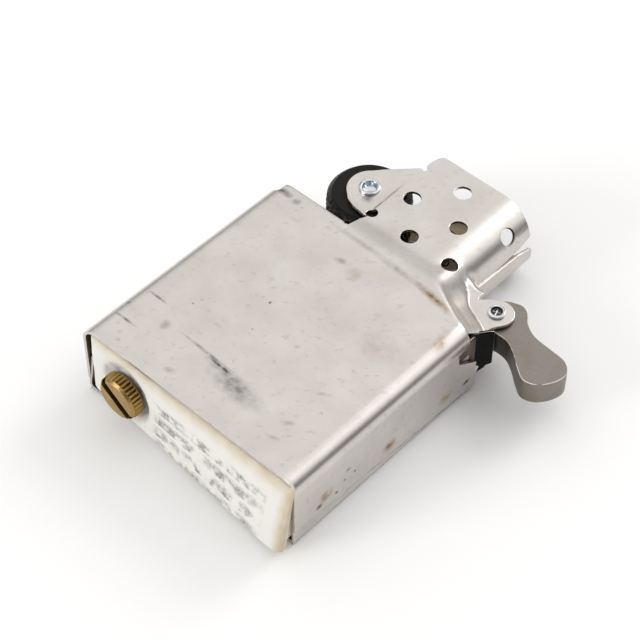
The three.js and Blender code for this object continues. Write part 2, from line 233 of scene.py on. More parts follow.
def finishPiece(piece, body, materials=(), replaces=(), angle=35):
    giveMaterials(piece, materials)
    selectOnly(piece)
    bpy.ops.object.shade_smooth_by_angle(angle=math.radians(angle))
    applyModifier(piece, "WEIGHTED_NORMAL", keep_sharp=True, weight=80)
    piece.data.transform(toRow)
    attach(piece, body)
    if replaces:
        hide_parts(*replaces)
    return piece


# material helpers

def linear(hexColour):
    parts = [int(hexColour[i:i + 2], 16) / 255 for i in (0, 2, 4)]
    return tuple(c / 12.92 if c <= 0.04045 else ((c + 0.055) / 1.055) ** 2.4 for c in parts) + (1,)


def addNode(tree, kind, inputs=None, **settings):
    node = tree.nodes.new("ShaderNode" + kind)
    for key, value in settings.items():
        setattr(node, key, value)
    for socket, value in (inputs or {}).items():
        if isinstance(value, bpy.types.NodeSocket):
            tree.links.new(value, node.inputs[socket])
        else:
            node.inputs[socket].default_value = value
    return node


def newMaterial(name, **shaderValues):
    material = bpy.data.materials.new(name)
    material.use_nodes = True
    tree = material.node_tree
    shader = tree.nodes["Principled BSDF"]
    for key, value in shaderValues.items():
        shader.inputs[key.replace("_", " ")].default_value = value
    return material, tree, shader


def millimetres(tree, stretch=(1, 1, 1), turn=(0, 0, 0)):
    # object coordinates in millimetres of the drawing; stretch is the pattern's size on each axis
    place = addNode(tree, "TexCoord").outputs["Object"]
    scaled = addNode(tree, "Mapping", {
        "Vector": place, "Scale": (1000, 1000, 1000), "Location": (0, -rimY * 1000, 0)})
    if stretch == (1, 1, 1) and turn == (0, 0, 0):
        return scaled.outputs[0]
    return addNode(tree, "Mapping", {
        "Vector": scaled.outputs[0], "Scale": stretch, "Rotation": turn}, vector_type="TEXTURE").outputs[0]


def spots(tree, place, marks):
    # soft blots: each is a centre, a reach on each axis, a turn about Z and a strength
    total = None
    for centre, reach, turn, strength in marks:
        local = addNode(tree, "Mapping", {
            "Vector": place, "Location": centre, "Scale": reach, "Rotation": (0, 0, turn)},
            vector_type="TEXTURE")
        ball = addNode(tree, "TexGradient", {0: local.outputs[0]}, gradient_type="SPHERICAL")
        weighed = addNode(tree, "Math", {0: ball.outputs["Fac"], 1: strength}, operation="MULTIPLY")
        if total is None:
            total = weighed.outputs[0]
        else:
            total = addNode(tree, "Math", {0: total, 1: weighed.outputs[0]}, operation="MAXIMUM").outputs[0]
    return total


# camera, floor and light

studio = {
    "target": (-1.08, 24.66, 5.0),  # millimetres in the drawing
    "azimuth": 42.65,
    "elevation": 49.21,
    "roll": 0.28,
    "distance": 242.18,
    "lens": 107.77,
    "floorSize": 3.0,
    "floorColour": "FFFFFF",
    "brightSide": (-0.443, 0.48, 0.757),
    "tentRange": (0.3, 1.12),
}


def addCamera():
    a, e = math.radians(studio["azimuth"]), math.radians(studio["elevation"])
    back = Vector((math.sin(a) * math.cos(e), -math.cos(a) * math.cos(e), math.sin(e)))
    camera = bpy.data.objects.new("camera", bpy.data.cameras.new("camera"))
    bpy.context.scene.collection.objects.link(camera)
    camera.location = toRow @ (Vector(studio["target"]) + back * studio["distance"])
    facing = (-back).to_track_quat("-Z", "Y").to_matrix()
    camera.rotation_euler = (facing @ Matrix.Rotation(math.radians(studio["roll"]), 3, "Z")).to_euler()
    camera.data.lens = studio["lens"]
    camera.data.sensor_width = 36
    camera.data.clip_start = 0.01
    bpy.context.scene.camera = camera


def addFloor():
    bpy.ops.mesh.primitive_plane_add(size=studio["floorSize"], location=(0, 0, -0.0001))
    floor = bpy.context.active_object
    floor.name = "floor"
    material, _, shader = newMaterial("whitePaper", Roughness=0.9, Specular_IOR_Level=0.1)
    shader.inputs["Base Color"].default_value = linear(studio["floorColour"])
    floor.data.materials.append(material)


def addWorld():
    # a light tent: brightest high on the far side, dimmer toward the camera, dark low down where it ends
    world = bpy.data.worlds.new("tent")
    world.use_nodes = True
    tree = world.node_tree
    direction = addNode(tree, "TexCoord").outputs["Generated"]
    height = addNode(tree, "SeparateXYZ", {0: direction}).outputs["Z"]
    ramp = addNode(tree, "ValToRGB", {0: height})
    stops = ramp.color_ramp.elements
    stops[0].position = 0.0
    stops[0].color = linear("2E2C2B")
    stops[1].position = 0.75
    stops[1].color = linear("F8F7F6")
    for position, colour in ((0.07, "4A4745"), (0.2, "C9C7C5"), (0.4, "E6E5E4")):
        stop = stops.new(position)
        stop.color = linear(colour)
    facing = addNode(tree, "VectorMath", {0: direction, 1: studio["brightSide"]}, operation="DOT_PRODUCT")
    low, high = studio["tentRange"]
    strength = addNode(tree, "MapRange", {
        "Value": facing.outputs["Value"], "From Min": -0.2, "From Max": 0.9, "To Min": low, "To Max": high},
        interpolation_type="SMOOTHSTEP")
    background = tree.nodes["Background"]
    tree.links.new(ramp.outputs[0], background.inputs["Color"])
    tree.links.new(strength.outputs[0], background.inputs["Strength"])
    bpy.context.scene.world = world


def addSoftbox(name, direction, distance, size, watts):
    light = bpy.data.objects.new(name, bpy.data.lights.new(name, "AREA"))
    bpy.context.scene.collection.objects.link(light)
    light.location = Vector(direction).normalized() * distance
    light.rotation_euler = Vector(direction).to_track_quat("Z", "Y").to_euler()
    light.data.shape = "DISK"
    light.data.size = size
    light.data.energy = watts


addCamera()
addFloor()
addWorld()
addSoftbox("softboxRight", (0.56, 0.48, 0.675), 0.9, 0.6, 0.62)
addSoftbox("softboxFront", (-0.4, -0.86, 0.32), 1.1, 0.5, 4.4)
addSoftbox("softboxBack", (0.1, 0.8, 0.6), 1.0, 0.45, 2.3)
bpy.context.scene.view_settings.view_transform = "Standard"
print("camera, floor and lights are up")


# materials

steelMarks = {
    # on the front panel: scuffs, a long dark rub, darker marks along the fold under the chimney, and a
    # painted shadow on the wheel ear below its rivet
    "panel": [
        ((-14.1, 9.5, 11.8), (1.9, 0.28, 1), -0.02, 0.9),
        ((-14.6, 4.3, 11.8), (2.4, 0.28, 1), 0.0, 0.9),
        ((-16.3, 6.5, 11.8), (0.5, 0.35, 1), 0.3, 1.3),
        ((-10.3, 7.0, 11.8), (0.9, 0.9, 1), 0.4, 0.6),
        ((-3.2, 7.3, 11.8), (5.5, 0.34, 1), -0.03, 0.8),
        ((-0.4, 6.9, 11.8), (3.6, 0.4, 1), -0.06, 1.3),
        ((1.6, 6.5, 11.8), (6.0, 1.0, 1), -0.09, 0.75),
        ((2.9, 5.7, 11.8), (5.4, 1.9, 1), -0.07, 0.7),
        ((-4.8, 2.3, 11.8), (1.1, 0.6, 1), 0.2, 0.4),
        ((-3.5, 18.2, 11.8), (0.24, 0.24, 1), 0, 1.6),
        ((-10.3, 11.7, 11.8), (0.2, 0.2, 1), 0, 1.4),
        ((-2.1, 13.7, 11.8), (0.2, 0.2, 1), 0, 1.2),
        # darker along the fold under the chimney
        ((-15.4, 33.2, 11.6), (1.9, 0.7, 1), 0.0, 1.2),
        ((-13.0, 33.0, 11.8), (0.8, 0.8, 1), 0.8, 0.8),
        ((-2.0, 33.3, 11.7), (6.0, 0.6, 1), 0.0, 0.4),
        ((4.5, 33.0, 11.7), (6.0, 0.7, 1), -0.05, 0.45),
        # painted shadow: the dark crescent on the wheel ear below its rivet
        ((-7.4, 40.5, 10.85), (1.1, 0.8, 1), 0.5, 0.9),
        ((-1.9, 29.3, 11.8), (1.1, 0.6, 1), 0.2, 0.7),
        ((10.9, 6.2, 11.8), (1.3, 0.5, 1), 0.6, 0.4),
        ((10.8, 12.0, 11.8), (0.9, 0.4, 1), 0.5, 0.4),
        ((11.1, 3.5, 11.8), (1.2, 0.4, 1), 0.3, 0.35),
    ],
    # heat and handling stain the steel brown
    "brown": [
        ((0.8, 28.7, 11.8), (1.3, 1.3, 1), 0, 0.5),
        ((10.8, 32.5, 11.7), (4.2, 0.8, 1), -0.15, 1.1),
        ((15.9, 27.8, 11.8), (1.0, 2.4, 1.2), 0.2, 0.8),
        ((11.4, 22.0, 11.8), (4.5, 2.5, 1), 0.0, 0.3),
        ((14.6, 33.2, 10.6), (3.0, 0.9, 1), -0.4, 0.9),
    ],
    # spot welds and specks on the narrow cam side
    "welds": [
        ((17.8, 5.4, 4.8), (0.7, 1.5, 1.2), 0, 1.15),
        ((17.8, 16.6, 3.5), (0.7, 1.5, 1.15), 0, 1.15),
        ((17.8, 27.2, 3.2), (0.7, 1.6, 1.1), 0, 1.0),
    ],
    "specksAndSeamShade": [
        ((17.8, 10.4, 4.6), (0.5, 0.25, 0.25), 0, 2.0),
        ((17.8, 9.2, 6.1), (0.5, 0.5, 0.4), 0, 1.0),
        ((17.8, 8.6, 4.6), (0.5, 0.3, 0.3), 0, 1.4),
        ((17.8, 7.2, 3.5), (0.5, 0.35, 0.3), 0, 1.4),
        ((17.8, 4.2, 3.7), (0.5, 0.7, 0.6), 0, 1.3),
        ((17.8, 31.2, 2.7), (0.5, 1.1, 0.5), 0, 1.4),
        # the seam's dark line: painted shade in the step between the two shells
        *(((17.75, 4 * i, 2.52 - 0.25 * i), (0.5, 3.6, 0.24), 0, 1.7) for i in range(9)),
    ],
}


def rolledStainless():
    # type 304 strip, rolled and tumbled: a soft pinkish grey that blurs what it mirrors
    look = {"light": "E0DBD6", "dark": "C4BEB9", "rubAndShade": "5F5C5B", "brown": "8A6F4C", "weld": "A5835F",
            "blotch": 5.0, "grain": 0.09, "scratch": 0.35, "fleck": 1.1, "flecks": 0.32}
    material, tree, shader = newMaterial("rolledStainless304", Metallic=1.0)
    place = millimetres(tree)
    cloud = addNode(tree, "TexNoise", {"Vector": place, "Scale": 1 / look["blotch"], "Detail": 5.0})
    fine = addNode(tree, "TexNoise", {
        "Vector": place, "Scale": 1 / look["fleck"], "Detail": 6.0, "Roughness": 0.65})
    colour = addNode(tree, "Mix", {
        0: cloud.outputs["Fac"], 6: linear(look["light"]), 7: linear(look["dark"])},
        data_type="RGBA").outputs[2]
    # a scatter of faint grey flecks, no two alike
    flecks = addNode(tree, "TexNoise", {
        "Vector": millimetres(tree, (1.2, 0.8, 1.2), (0, 0, 0.7)), "Scale": 1.0, "Detail": 7.0,
        "Roughness": 0.75})
    faint = addNode(tree, "MapRange", {
        "Value": flecks.outputs["Fac"], "From Min": 0.56, "From Max": 0.72, "To Max": look["flecks"]})
    colour = addNode(tree, "Mix", {
        0: faint.outputs[0], 6: colour, 7: linear(look["rubAndShade"])}, data_type="RGBA").outputs[2]
    breakUp = addNode(tree, "MapRange", {
        "Value": fine.outputs["Fac"], "From Min": 0.32, "From Max": 0.62, "To Min": 0.25, "To Max": 1.1})
    dirtAndShade = None
    # the dark grey of the rub marks also paints shade: the seam's dark line, and the shadow on the wheel ear
    # below its rivet
    for marks, stain in (("brown", "brown"), ("welds", "weld"), ("panel", "rubAndShade"), ("specksAndSeamShade", "rubAndShade")):
        blots = spots(tree, place, steelMarks[marks])
        mask = addNode(tree, "Math", {
            0: blots, 1: breakUp.outputs[0]}, operation="MULTIPLY", use_clamp=True)
        colour = addNode(tree, "Mix", {
            0: mask.outputs[0], 6: colour, 7: linear(look[stain])}, data_type="RGBA").outputs[2]
        dirtAndShade = mask.outputs[0] if dirtAndShade is None else addNode(tree, "Math", {
            0: dirtAndShade, 1: mask.outputs[0]}, operation="MAXIMUM").outputs[0]
    tree.links.new(colour, shader.inputs["Base Color"])
    rough = addNode(tree, "MapRange", {"Value": fine.outputs["Fac"], "To Min": 0.25, "To Max": 0.36})
    dirtAndShadeRough = addNode(tree, "Math", {0: dirtAndShade, 1: 0.3, 2: rough.outputs[0]}, operation="MULTIPLY_ADD")
    tree.links.new(dirtAndShadeRough.outputs[0], shader.inputs["Roughness"])
    # rolling grain runs along the body; short stray scratches cross it
    grain = addNode(tree, "TexNoise", {
        "Vector": millimetres(tree, (look["grain"], 2.5, look["grain"])), "Scale": 1.0, "Detail": 3.0})
    stray = addNode(tree, "TexNoise", {
        "Vector": millimetres(tree, (2.2, look["scratch"] / 6, 2.2), (0, 0, 0.5)), "Scale": 1.0,
        "Detail": 4.0})
    sharp = addNode(tree, "MapRange", {"Value": stray.outputs["Fac"], "From Min": 0.66, "From Max": 0.72})
    height = addNode(tree, "Math", {
        0: sharp.outputs[0], 1: -1.4, 2: grain.outputs["Fac"]}, operation="MULTIPLY_ADD")
    bump = addNode(tree, "Bump", {"Height": height.outputs[0], "Strength": 0.12, "Distance": 0.00002})
    tree.links.new(bump.outputs[0], shader.inputs["Normal"])
    return material


# finishes that are one soft mottle between two colours: the mottle's size and detail, the part
# of it that the colours run between, and the roughness from one end to the other
mottles = {
    # the same strip inside the casing: fuel and flame leave a brown, duller film; it is kept dark to serve
    # as painted shade too, on the rear shell's hidden flange and in the cam rivet's dish
    "sootedStainless304WithShade": {"colours": ("7F725D", "43372A"), "patch": 3.5, "detail": 6,
                           "between": (0.3, 0.65), "rough": (0.3, 0.6), "shader": {"Metallic": 0.85}},
    # sheared and tumbled strip edge: brighter and smoother than the face
    "shearedSteelEdge": {"colours": ("F2ECE8", "B5ADA8"), "patch": 1 / 0.9, "detail": 3,
                         "shader": {"Metallic": 1.0, "Roughness": 0.22}},
    # bright zinc on a cold-headed steel rivet: bluish white, nearly a mirror, with dull pits
    "zincPlatedSteel": {"colours": ("E3E6EA", "9EA3A8"), "patch": 1 / 0.9, "detail": 4,
                        "between": (0.45, 0.7), "rough": (0.12, 0.32), "shader": {"Metallic": 1.0}},
    # where the lid rubs the lever's edge, the steel shows bright through the lacquer in places; the edge is
    # also made a dull near white, hardly metallic, as a painted highlight
    "wornLeverEdgeAndHighlight": {"colours": ("8B837C", "FBF6F0"), "patch": 1 / 0.55, "detail": 5,
                      "between": (0.36, 0.5), "shader": {"Metallic": 0.15, "Roughness": 0.5}},
    # hardened strip, oil blued: nearly black, satin, faintly mottled
    "bluedSpringSteel": {"colours": ("050506", "0C0C0C"), "patch": 1 / 1.2, "detail": 5,
                         "rough": (0.35, 0.55), "shader": {"Specular_IOR_Level": 0.12}},
    # drawn carbon wire: grey and smooth
    "drawnSpringWire": {"colours": ("A3A3A3", "6C6B6A"), "patch": 1 / 1.5, "detail": 3,
                        "shader": {"Metallic": 1.0, "Roughness": 0.3}},
    # pressed ferrocerium: dark, dull and grainy
    "ferroceriumRod": {"colours": ("5E5853", "35302D"), "patch": 1 / 6, "detail": 4, "grain": 0.5,
                       "shader": {"Metallic": 0.6, "Roughness": 0.65}},
    # bare copper wire, heat-browned
    "drawnCopper": {"colours": ("B9794A", "5F4028"), "patch": 1.0, "detail": 4,
                    "shader": {"Metallic": 1.0, "Roughness": 0.35}},
}


def mottled(name):
    look = mottles[name]
    material, tree, shader = newMaterial(name, **look["shader"])
    cloud = addNode(tree, "TexNoise", {
        "Vector": millimetres(tree), "Scale": 1 / look["patch"], "Detail": look["detail"]}).outputs["Fac"]
    amount = cloud
    if "between" in look:
        low, high = look["between"]
        amount = addNode(tree, "MapRange", {"Value": cloud, "From Min": low, "From Max": high}).outputs[0]
    first, second = look["colours"]
    colour = addNode(tree, "Mix", {0: amount, 6: linear(first), 7: linear(second)}, data_type="RGBA")
    tree.links.new(colour.outputs[2], shader.inputs["Base Color"])
    if "rough" in look:
        low, high = look["rough"]
        rough = addNode(tree, "MapRange", {"Value": cloud, "To Min": low, "To Max": high})
        tree.links.new(rough.outputs[0], shader.inputs["Roughness"])
    if "grain" in look:
        bump = addNode(tree, "Bump", {"Height": cloud, "Strength": look["grain"], "Distance": 0.00005})
        tree.links.new(bump.outputs[0], shader.inputs["Normal"])
    return material


def centred(tree, axis, keep=(1, 1, 1)):
    # millimetres from an axis; an axis direction is dropped by giving it 0 in keep
    place = millimetres(tree)
    moved = addNode(tree, "VectorMath", {0: place, 1: tuple(axis)}, operation="SUBTRACT")
    return addNode(tree, "VectorMath", {0: moved.outputs[0], 1: keep}, operation="MULTIPLY").outputs[0]


def blackenedSteel():
    # hardened carbon steel, oil blackened: worn to grey on its rims, with brown flint dust in the cuts
    look = {"black": "0B0B0B", "worn": "6F6B68", "dust": "1E1A17"}
    material, tree, shader = newMaterial("oilBlackenedSteel", Metallic=0.55, Specular_IOR_Level=0.35)
    place = millimetres(tree)
    cloud = addNode(tree, "TexNoise", {"Vector": place, "Scale": 2.2, "Detail": 6.0, "Roughness": 0.7})
    dust = addNode(tree, "Mix", {
        0: cloud.outputs["Fac"], 6: linear(look["black"]), 7: linear(look["dust"])}, data_type="RGBA")
    away = addNode(tree, "VectorMath", {0: centred(tree, wheelAxis, (1, 1, 0))}, operation="LENGTH")
    rim = addNode(tree, "MapRange", {
        "Value": away.outputs["Value"], "From Min": 4.9, "From Max": 5.6, "To Max": 0.6})
    patchy = addNode(tree, "MapRange", {"Value": cloud.outputs["Fac"], "From Min": 0.45, "From Max": 0.62})
    worn = addNode(tree, "Math", {0: rim.outputs[0], 1: patchy.outputs[0]}, operation="MULTIPLY")
    colour = addNode(tree, "Mix", {
        0: worn.outputs[0], 6: dust.outputs[2], 7: linear(look["worn"])}, data_type="RGBA")
    tree.links.new(colour.outputs[2], shader.inputs["Base Color"])
    rough = addNode(tree, "MapRange", {"Value": cloud.outputs["Fac"], "To Min": 0.3, "To Max": 0.65})
    tree.links.new(rough.outputs[0], shader.inputs["Roughness"])
    bump = addNode(tree, "Bump", {"Height": cloud.outputs["Fac"], "Strength": 0.35, "Distance": 0.00005})
    tree.links.new(bump.outputs[0], shader.inputs["Normal"])
    return material


def turnedBrassRod():
    # free-cutting brass, turned and knurled: tan gold with brown tarnish in the recesses
    look = {"bright": "BFA268", "dull": "9C7C44", "tarnish": "35240F", "turning": 0.12}
    material, tree, shader = newMaterial("turnedBrass", Metallic=1.0)
    place = millimetres(tree)
    cloud = addNode(tree, "TexNoise", {"Vector": place, "Scale": 0.8, "Detail": 5.0})
    base = addNode(tree, "Mix", {
        0: cloud.outputs["Fac"], 6: linear(look["bright"]), 7: linear(look["dull"])}, data_type="RGBA")
    away = addNode(tree, "VectorMath", {0: centred(tree, screwAxis, (1, 0, 1))}, operation="LENGTH")
    groove = addNode(tree, "MapRange", {"Value": away.outputs["Value"], "From Min": 3.03, "From Max": 2.88})
    depth = addNode(tree, "SeparateXYZ", {0: place}).outputs["Y"]
    onSide = addNode(tree, "MapRange", {
        "Value": depth, "From Min": screw["face"] + 0.36, "From Max": screw["face"] + 0.5})
    recess = addNode(tree, "Math", {0: groove.outputs[0], 1: onSide.outputs[0]}, operation="MULTIPLY")
    patchy = addNode(tree, "MapRange", {
        "Value": cloud.outputs["Fac"], "From Min": 0.3, "From Max": 0.6, "To Min": 0.55, "To Max": 1.0})
    tarnish = addNode(tree, "Math", {0: recess.outputs[0], 1: patchy.outputs[0]}, operation="MULTIPLY")
    colour = addNode(tree, "Mix", {
        0: tarnish.outputs[0], 6: base.outputs[2], 7: linear(look["tarnish"])}, data_type="RGBA")
    tree.links.new(colour.outputs[2], shader.inputs["Base Color"])
    rough = addNode(tree, "MapRange", {"Value": cloud.outputs["Fac"], "To Min": 0.25, "To Max": 0.45})
    tree.links.new(rough.outputs[0], shader.inputs["Roughness"])
    rings = addNode(tree, "TexNoise", {
        "W": away.outputs["Value"], "Scale": 1 / look["turning"]}, noise_dimensions="1D")
    bump = addNode(tree, "Bump", {"Height": rings.outputs["Fac"], "Strength": 0.2, "Distance": 0.00002})
    tree.links.new(bump.outputs[0], shader.inputs["Normal"])
    return material


def leverGrain(tree, size):
    return addNode(tree, "TexNoise", {
        "Vector": millimetres(tree, (1.1, size, 3.0), (0, 0, 0.1)), "Scale": 1.0, "Detail": 5.0})


def brushedLeverSteel():
    # pressed carbon steel, barrel-finished and lacquered: warm brown-grey with fine lines along it
    look = {"light": "948D87", "dark": "837C76", "olive": "847D70", "line": 0.07}
    material, tree, shader = newMaterial("pressedLeverSteel", Metallic=0.9)
    grain = leverGrain(tree, look["line"])
    cloud = addNode(tree, "TexNoise", {"Vector": millimetres(tree), "Scale": 0.35, "Detail": 4.0})
    base = addNode(tree, "Mix", {
        0: grain.outputs["Fac"], 6: linear(look["light"]), 7: linear(look["dark"])}, data_type="RGBA")
    stain = addNode(tree, "MapRange", {
        "Value": cloud.outputs["Fac"], "From Min": 0.5, "From Max": 0.7, "To Max": 0.7})
    colour = addNode(tree, "Mix", {
        0: stain.outputs[0], 6: base.outputs[2], 7: linear(look["olive"])}, data_type="RGBA")
    tree.links.new(colour.outputs[2], shader.inputs["Base Color"])
    rough = addNode(tree, "MapRange", {"Value": grain.outputs["Fac"], "To Min": 0.3, "To Max": 0.5})
    tree.links.new(rough.outputs[0], shader.inputs["Roughness"])
    bump = addNode(tree, "Bump", {"Height": grain.outputs["Fac"], "Strength": 0.25, "Distance": 0.00003})
    tree.links.new(bump.outputs[0], shader.inputs["Normal"])
    return material


def groundSpringEdge():
    # the sheared edge of the leaf, rubbed back to bare steel near the tip
    look = {"bare": "B9B6B0", "black": "201F1E"}
    material, tree, shader = newMaterial("groundSpringEdge", Metallic=0.9, Roughness=0.35)
    height = addNode(tree, "SeparateXYZ", {0: millimetres(tree)}).outputs["Y"]
    nearTip = addNode(tree, "MapRange", {"Value": height, "From Min": 33.4, "From Max": 34.6})
    colour = addNode(tree, "Mix", {
        0: nearTip.outputs[0], 6: linear(look["black"]), 7: linear(look["bare"])}, data_type="RGBA")
    tree.links.new(colour.outputs[2], shader.inputs["Base Color"])
    return material


def braidedCottonWick():
    # braided cotton cord: off-white in the casing, scorched toward the flame
    look = {"clean": "DCD3BE", "scorch": "4A3B2B", "fibre": 0.12, "scorchFrom": 36.0, "scorchTo": 46.0}
    material, tree, shader = newMaterial("braidedCotton", Roughness=0.95, Sheen_Weight=0.3)
    place = millimetres(tree)
    fibre = addNode(tree, "TexNoise", {"Vector": place, "Scale": 1 / look["fibre"], "Detail": 4.0})
    height = addNode(tree, "SeparateXYZ", {0: place}).outputs["Y"]
    blurred = addNode(tree, "Math", {0: fibre.outputs["Fac"], 1: 3.0, 2: height}, operation="MULTIPLY_ADD")
    burnt = addNode(tree, "MapRange", {
        "Value": blurred.outputs[0], "From Min": look["scorchFrom"], "From Max": look["scorchTo"],
        "To Max": 0.95})
    colour = addNode(tree, "Mix", {
        0: burnt.outputs[0], 6: linear(look["clean"]), 7: linear(look["scorch"])}, data_type="RGBA")
    tree.links.new(colour.outputs[2], shader.inputs["Base Color"])
    bump = addNode(tree, "Bump", {"Height": fibre.outputs["Fac"], "Strength": 0.6, "Distance": 0.0001})
    tree.links.new(bump.outputs[0], shader.inputs["Normal"])
    return material


def cottonWadding():
    # carded cotton wool: matt white with soft shadows between the fibres
    look = {"light": "F4F1E9", "dark": "D9D2C2", "fibre": 0.35}
    material, tree, shader = newMaterial(
        "cottonWadding", Roughness=1.0, Sheen_Weight=0.4, Specular_IOR_Level=0.1)
    fibre = addNode(tree, "TexNoise", {
        "Vector": millimetres(tree, (1, 0.25, 1)), "Scale": 1 / look["fibre"], "Detail": 6.0})
    colour = addNode(tree, "Mix", {
        0: fibre.outputs["Fac"], 6: linear(look["dark"]), 7: linear(look["light"])}, data_type="RGBA")
    tree.links.new(colour.outputs[2], shader.inputs["Base Color"])
    bump = addNode(tree, "Bump", {"Height": fibre.outputs["Fac"], "Strength": 0.8, "Distance": 0.0003})
    tree.links.new(bump.outputs[0], shader.inputs["Normal"])
    return material


def pressedWoolFelt():
    # pressed white felt: matt fibres, fuel stains along its rim, and the rubbed remains of a stamped pattern
    look = {"white": "FFFEFA", "shade": "F6F2E8", "stain": "D9BF88", "ink": "565654", "scuff": "9A968E",
            "fibre": 0.3, "cell": 1.7, "stroke": 0.24, "firstRow": 0.75, "rowPitch": 2.1, "rowHeight": 0.66,
            # the pattern fades out between each pair: by wear, and past each side of its field
            "inkEdges": [("fibre", "Fac", 0.3, 0.58), ("cloud", "Fac", 0.41, 0.56),
                         ("place", "X", -5.2, -4.4), ("place", "X", 14.8, 13.8),
                         ("place", "Z", 0.9, 1.5), ("place", "Z", 8.6, 8.2), ("place", "Y", 1.2, 0.8)]}
    material, tree, shader = newMaterial(
        "pressedWoolFelt", Roughness=1.0, Sheen_Weight=0.35, Specular_IOR_Level=0.1)
    place = millimetres(tree)
    fibre = addNode(tree, "TexNoise", {
        "Vector": place, "Scale": 1 / look["fibre"], "Detail": 7.0, "Roughness": 0.7})
    cloud = addNode(tree, "TexNoise", {"Vector": place, "Scale": 0.55, "Detail": 5.0})
    axes = addNode(tree, "SeparateXYZ", {0: place})
    colour = addNode(tree, "Mix", {
        0: fibre.outputs["Fac"], 6: linear(look["shade"]), 7: linear(look["white"])},
        data_type="RGBA").outputs[2]
    # fuel stain: strongest near the front rim and the cam-side end
    nearRim = addNode(tree, "MapRange", {
        "Value": axes.outputs["Z"], "From Min": 9.2, "From Max": 11.3}, interpolation_type="SMOOTHSTEP")
    nearEnd = addNode(tree, "MapRange", {
        "Value": axes.outputs["X"], "From Min": 16.0, "From Max": 17.6}, interpolation_type="SMOOTHSTEP")
    edge = addNode(tree, "Math", {0: nearRim.outputs[0], 1: nearEnd.outputs[0]}, operation="MAXIMUM")
    patchy = addNode(tree, "MapRange", {"Value": cloud.outputs["Fac"], "From Min": 0.38, "From Max": 0.62})
    uneven = addNode(tree, "MapRange", {
        "Value": cloud.outputs["Fac"], "From Min": 0.35, "From Max": 0.65, "To Min": 0.4, "To Max": 0.65})
    weak = addNode(tree, "Math", {0: edge.outputs[0], 1: uneven.outputs[0]}, operation="MULTIPLY")
    colour = addNode(tree, "Mix", {
        0: weak.outputs[0], 6: colour, 7: linear(look["stain"])}, data_type="RGBA").outputs[2]
    # rows of short strokes, the worn and unreadable remains of a stamped pattern
    flat = addNode(tree, "VectorMath", {0: place, 1: (1, 0, 1)}, operation="MULTIPLY")
    wobble = addNode(tree, "VectorMath", {
        0: cloud.outputs["Color"], 1: (0.8, 0, 0.8), 2: flat.outputs[0]}, operation="MULTIPLY_ADD")
    cells = addNode(tree, "TexVoronoi", {
        "Vector": wobble.outputs[0], "Scale": 1 / look["cell"], "Randomness": 0.9},
        feature="DISTANCE_TO_EDGE")
    strokes = addNode(tree, "MapRange", {
        "Value": cells.outputs["Distance"], "From Min": look["stroke"] * 1.3,
        "From Max": look["stroke"] * 0.4})
    inRow = addNode(tree, "Math", {0: axes.outputs["Z"], 1: look["firstRow"]}, operation="SUBTRACT")
    inRow = addNode(tree, "Math", {0: inRow.outputs[0], 1: look["rowPitch"]}, operation="DIVIDE")
    inRow = addNode(tree, "Math", {0: inRow.outputs[0]}, operation="FRACT")
    rows = addNode(tree, "MapRange", {
        "Value": inRow.outputs[0], "From Min": look["rowHeight"] + 0.2,
        "From Max": look["rowHeight"] - 0.2})
    bars = addNode(tree, "Math", {0: strokes.outputs[0], 1: rows.outputs[0]}, operation="MULTIPLY")
    ink = bars.outputs[0]
    for source, socket, start, end in look["inkEdges"]:
        value = {"fibre": fibre, "cloud": cloud, "place": axes}[source].outputs[socket]
        mask = addNode(tree, "MapRange", {"Value": value, "From Min": start, "From Max": end})
        ink = addNode(tree, "Math", {0: ink, 1: mask.outputs[0]}, operation="MULTIPLY").outputs[0]
    ink = addNode(tree, "Math", {0: ink, 1: 0.8}, operation="MULTIPLY").outputs[0]
    colour = addNode(tree, "Mix", {0: ink, 6: colour, 7: linear(look["ink"])}, data_type="RGBA").outputs[2]
    # rubbed grey round the screw head
    away = addNode(tree, "VectorMath", {0: centred(tree, screwAxis, (1, 0, 1))}, operation="LENGTH")
    ring = addNode(tree, "MapRange", {"Value": away.outputs["Value"], "From Min": 4.6, "From Max": 2.8})
    rubbed = addNode(tree, "Math", {0: ring.outputs[0], 1: patchy.outputs[0]}, operation="MULTIPLY")
    colour = addNode(tree, "Mix", {
        0: rubbed.outputs[0], 6: colour, 7: linear(look["scuff"])}, data_type="RGBA").outputs[2]
    tree.links.new(colour, shader.inputs["Base Color"])
    bump = addNode(tree, "Bump", {"Height": fibre.outputs["Fac"], "Strength": 0.7, "Distance": 0.00018})
    tree.links.new(bump.outputs[0], shader.inputs["Normal"])
    return material


stainless = rolledStainless()
sootAndShade = mottled("sootedStainless304WithShade")
steelEdge = mottled("shearedSteelEdge")
print("sheet steel is ready")


# casing: each shell is one strip, blanked and punched flat, then bent

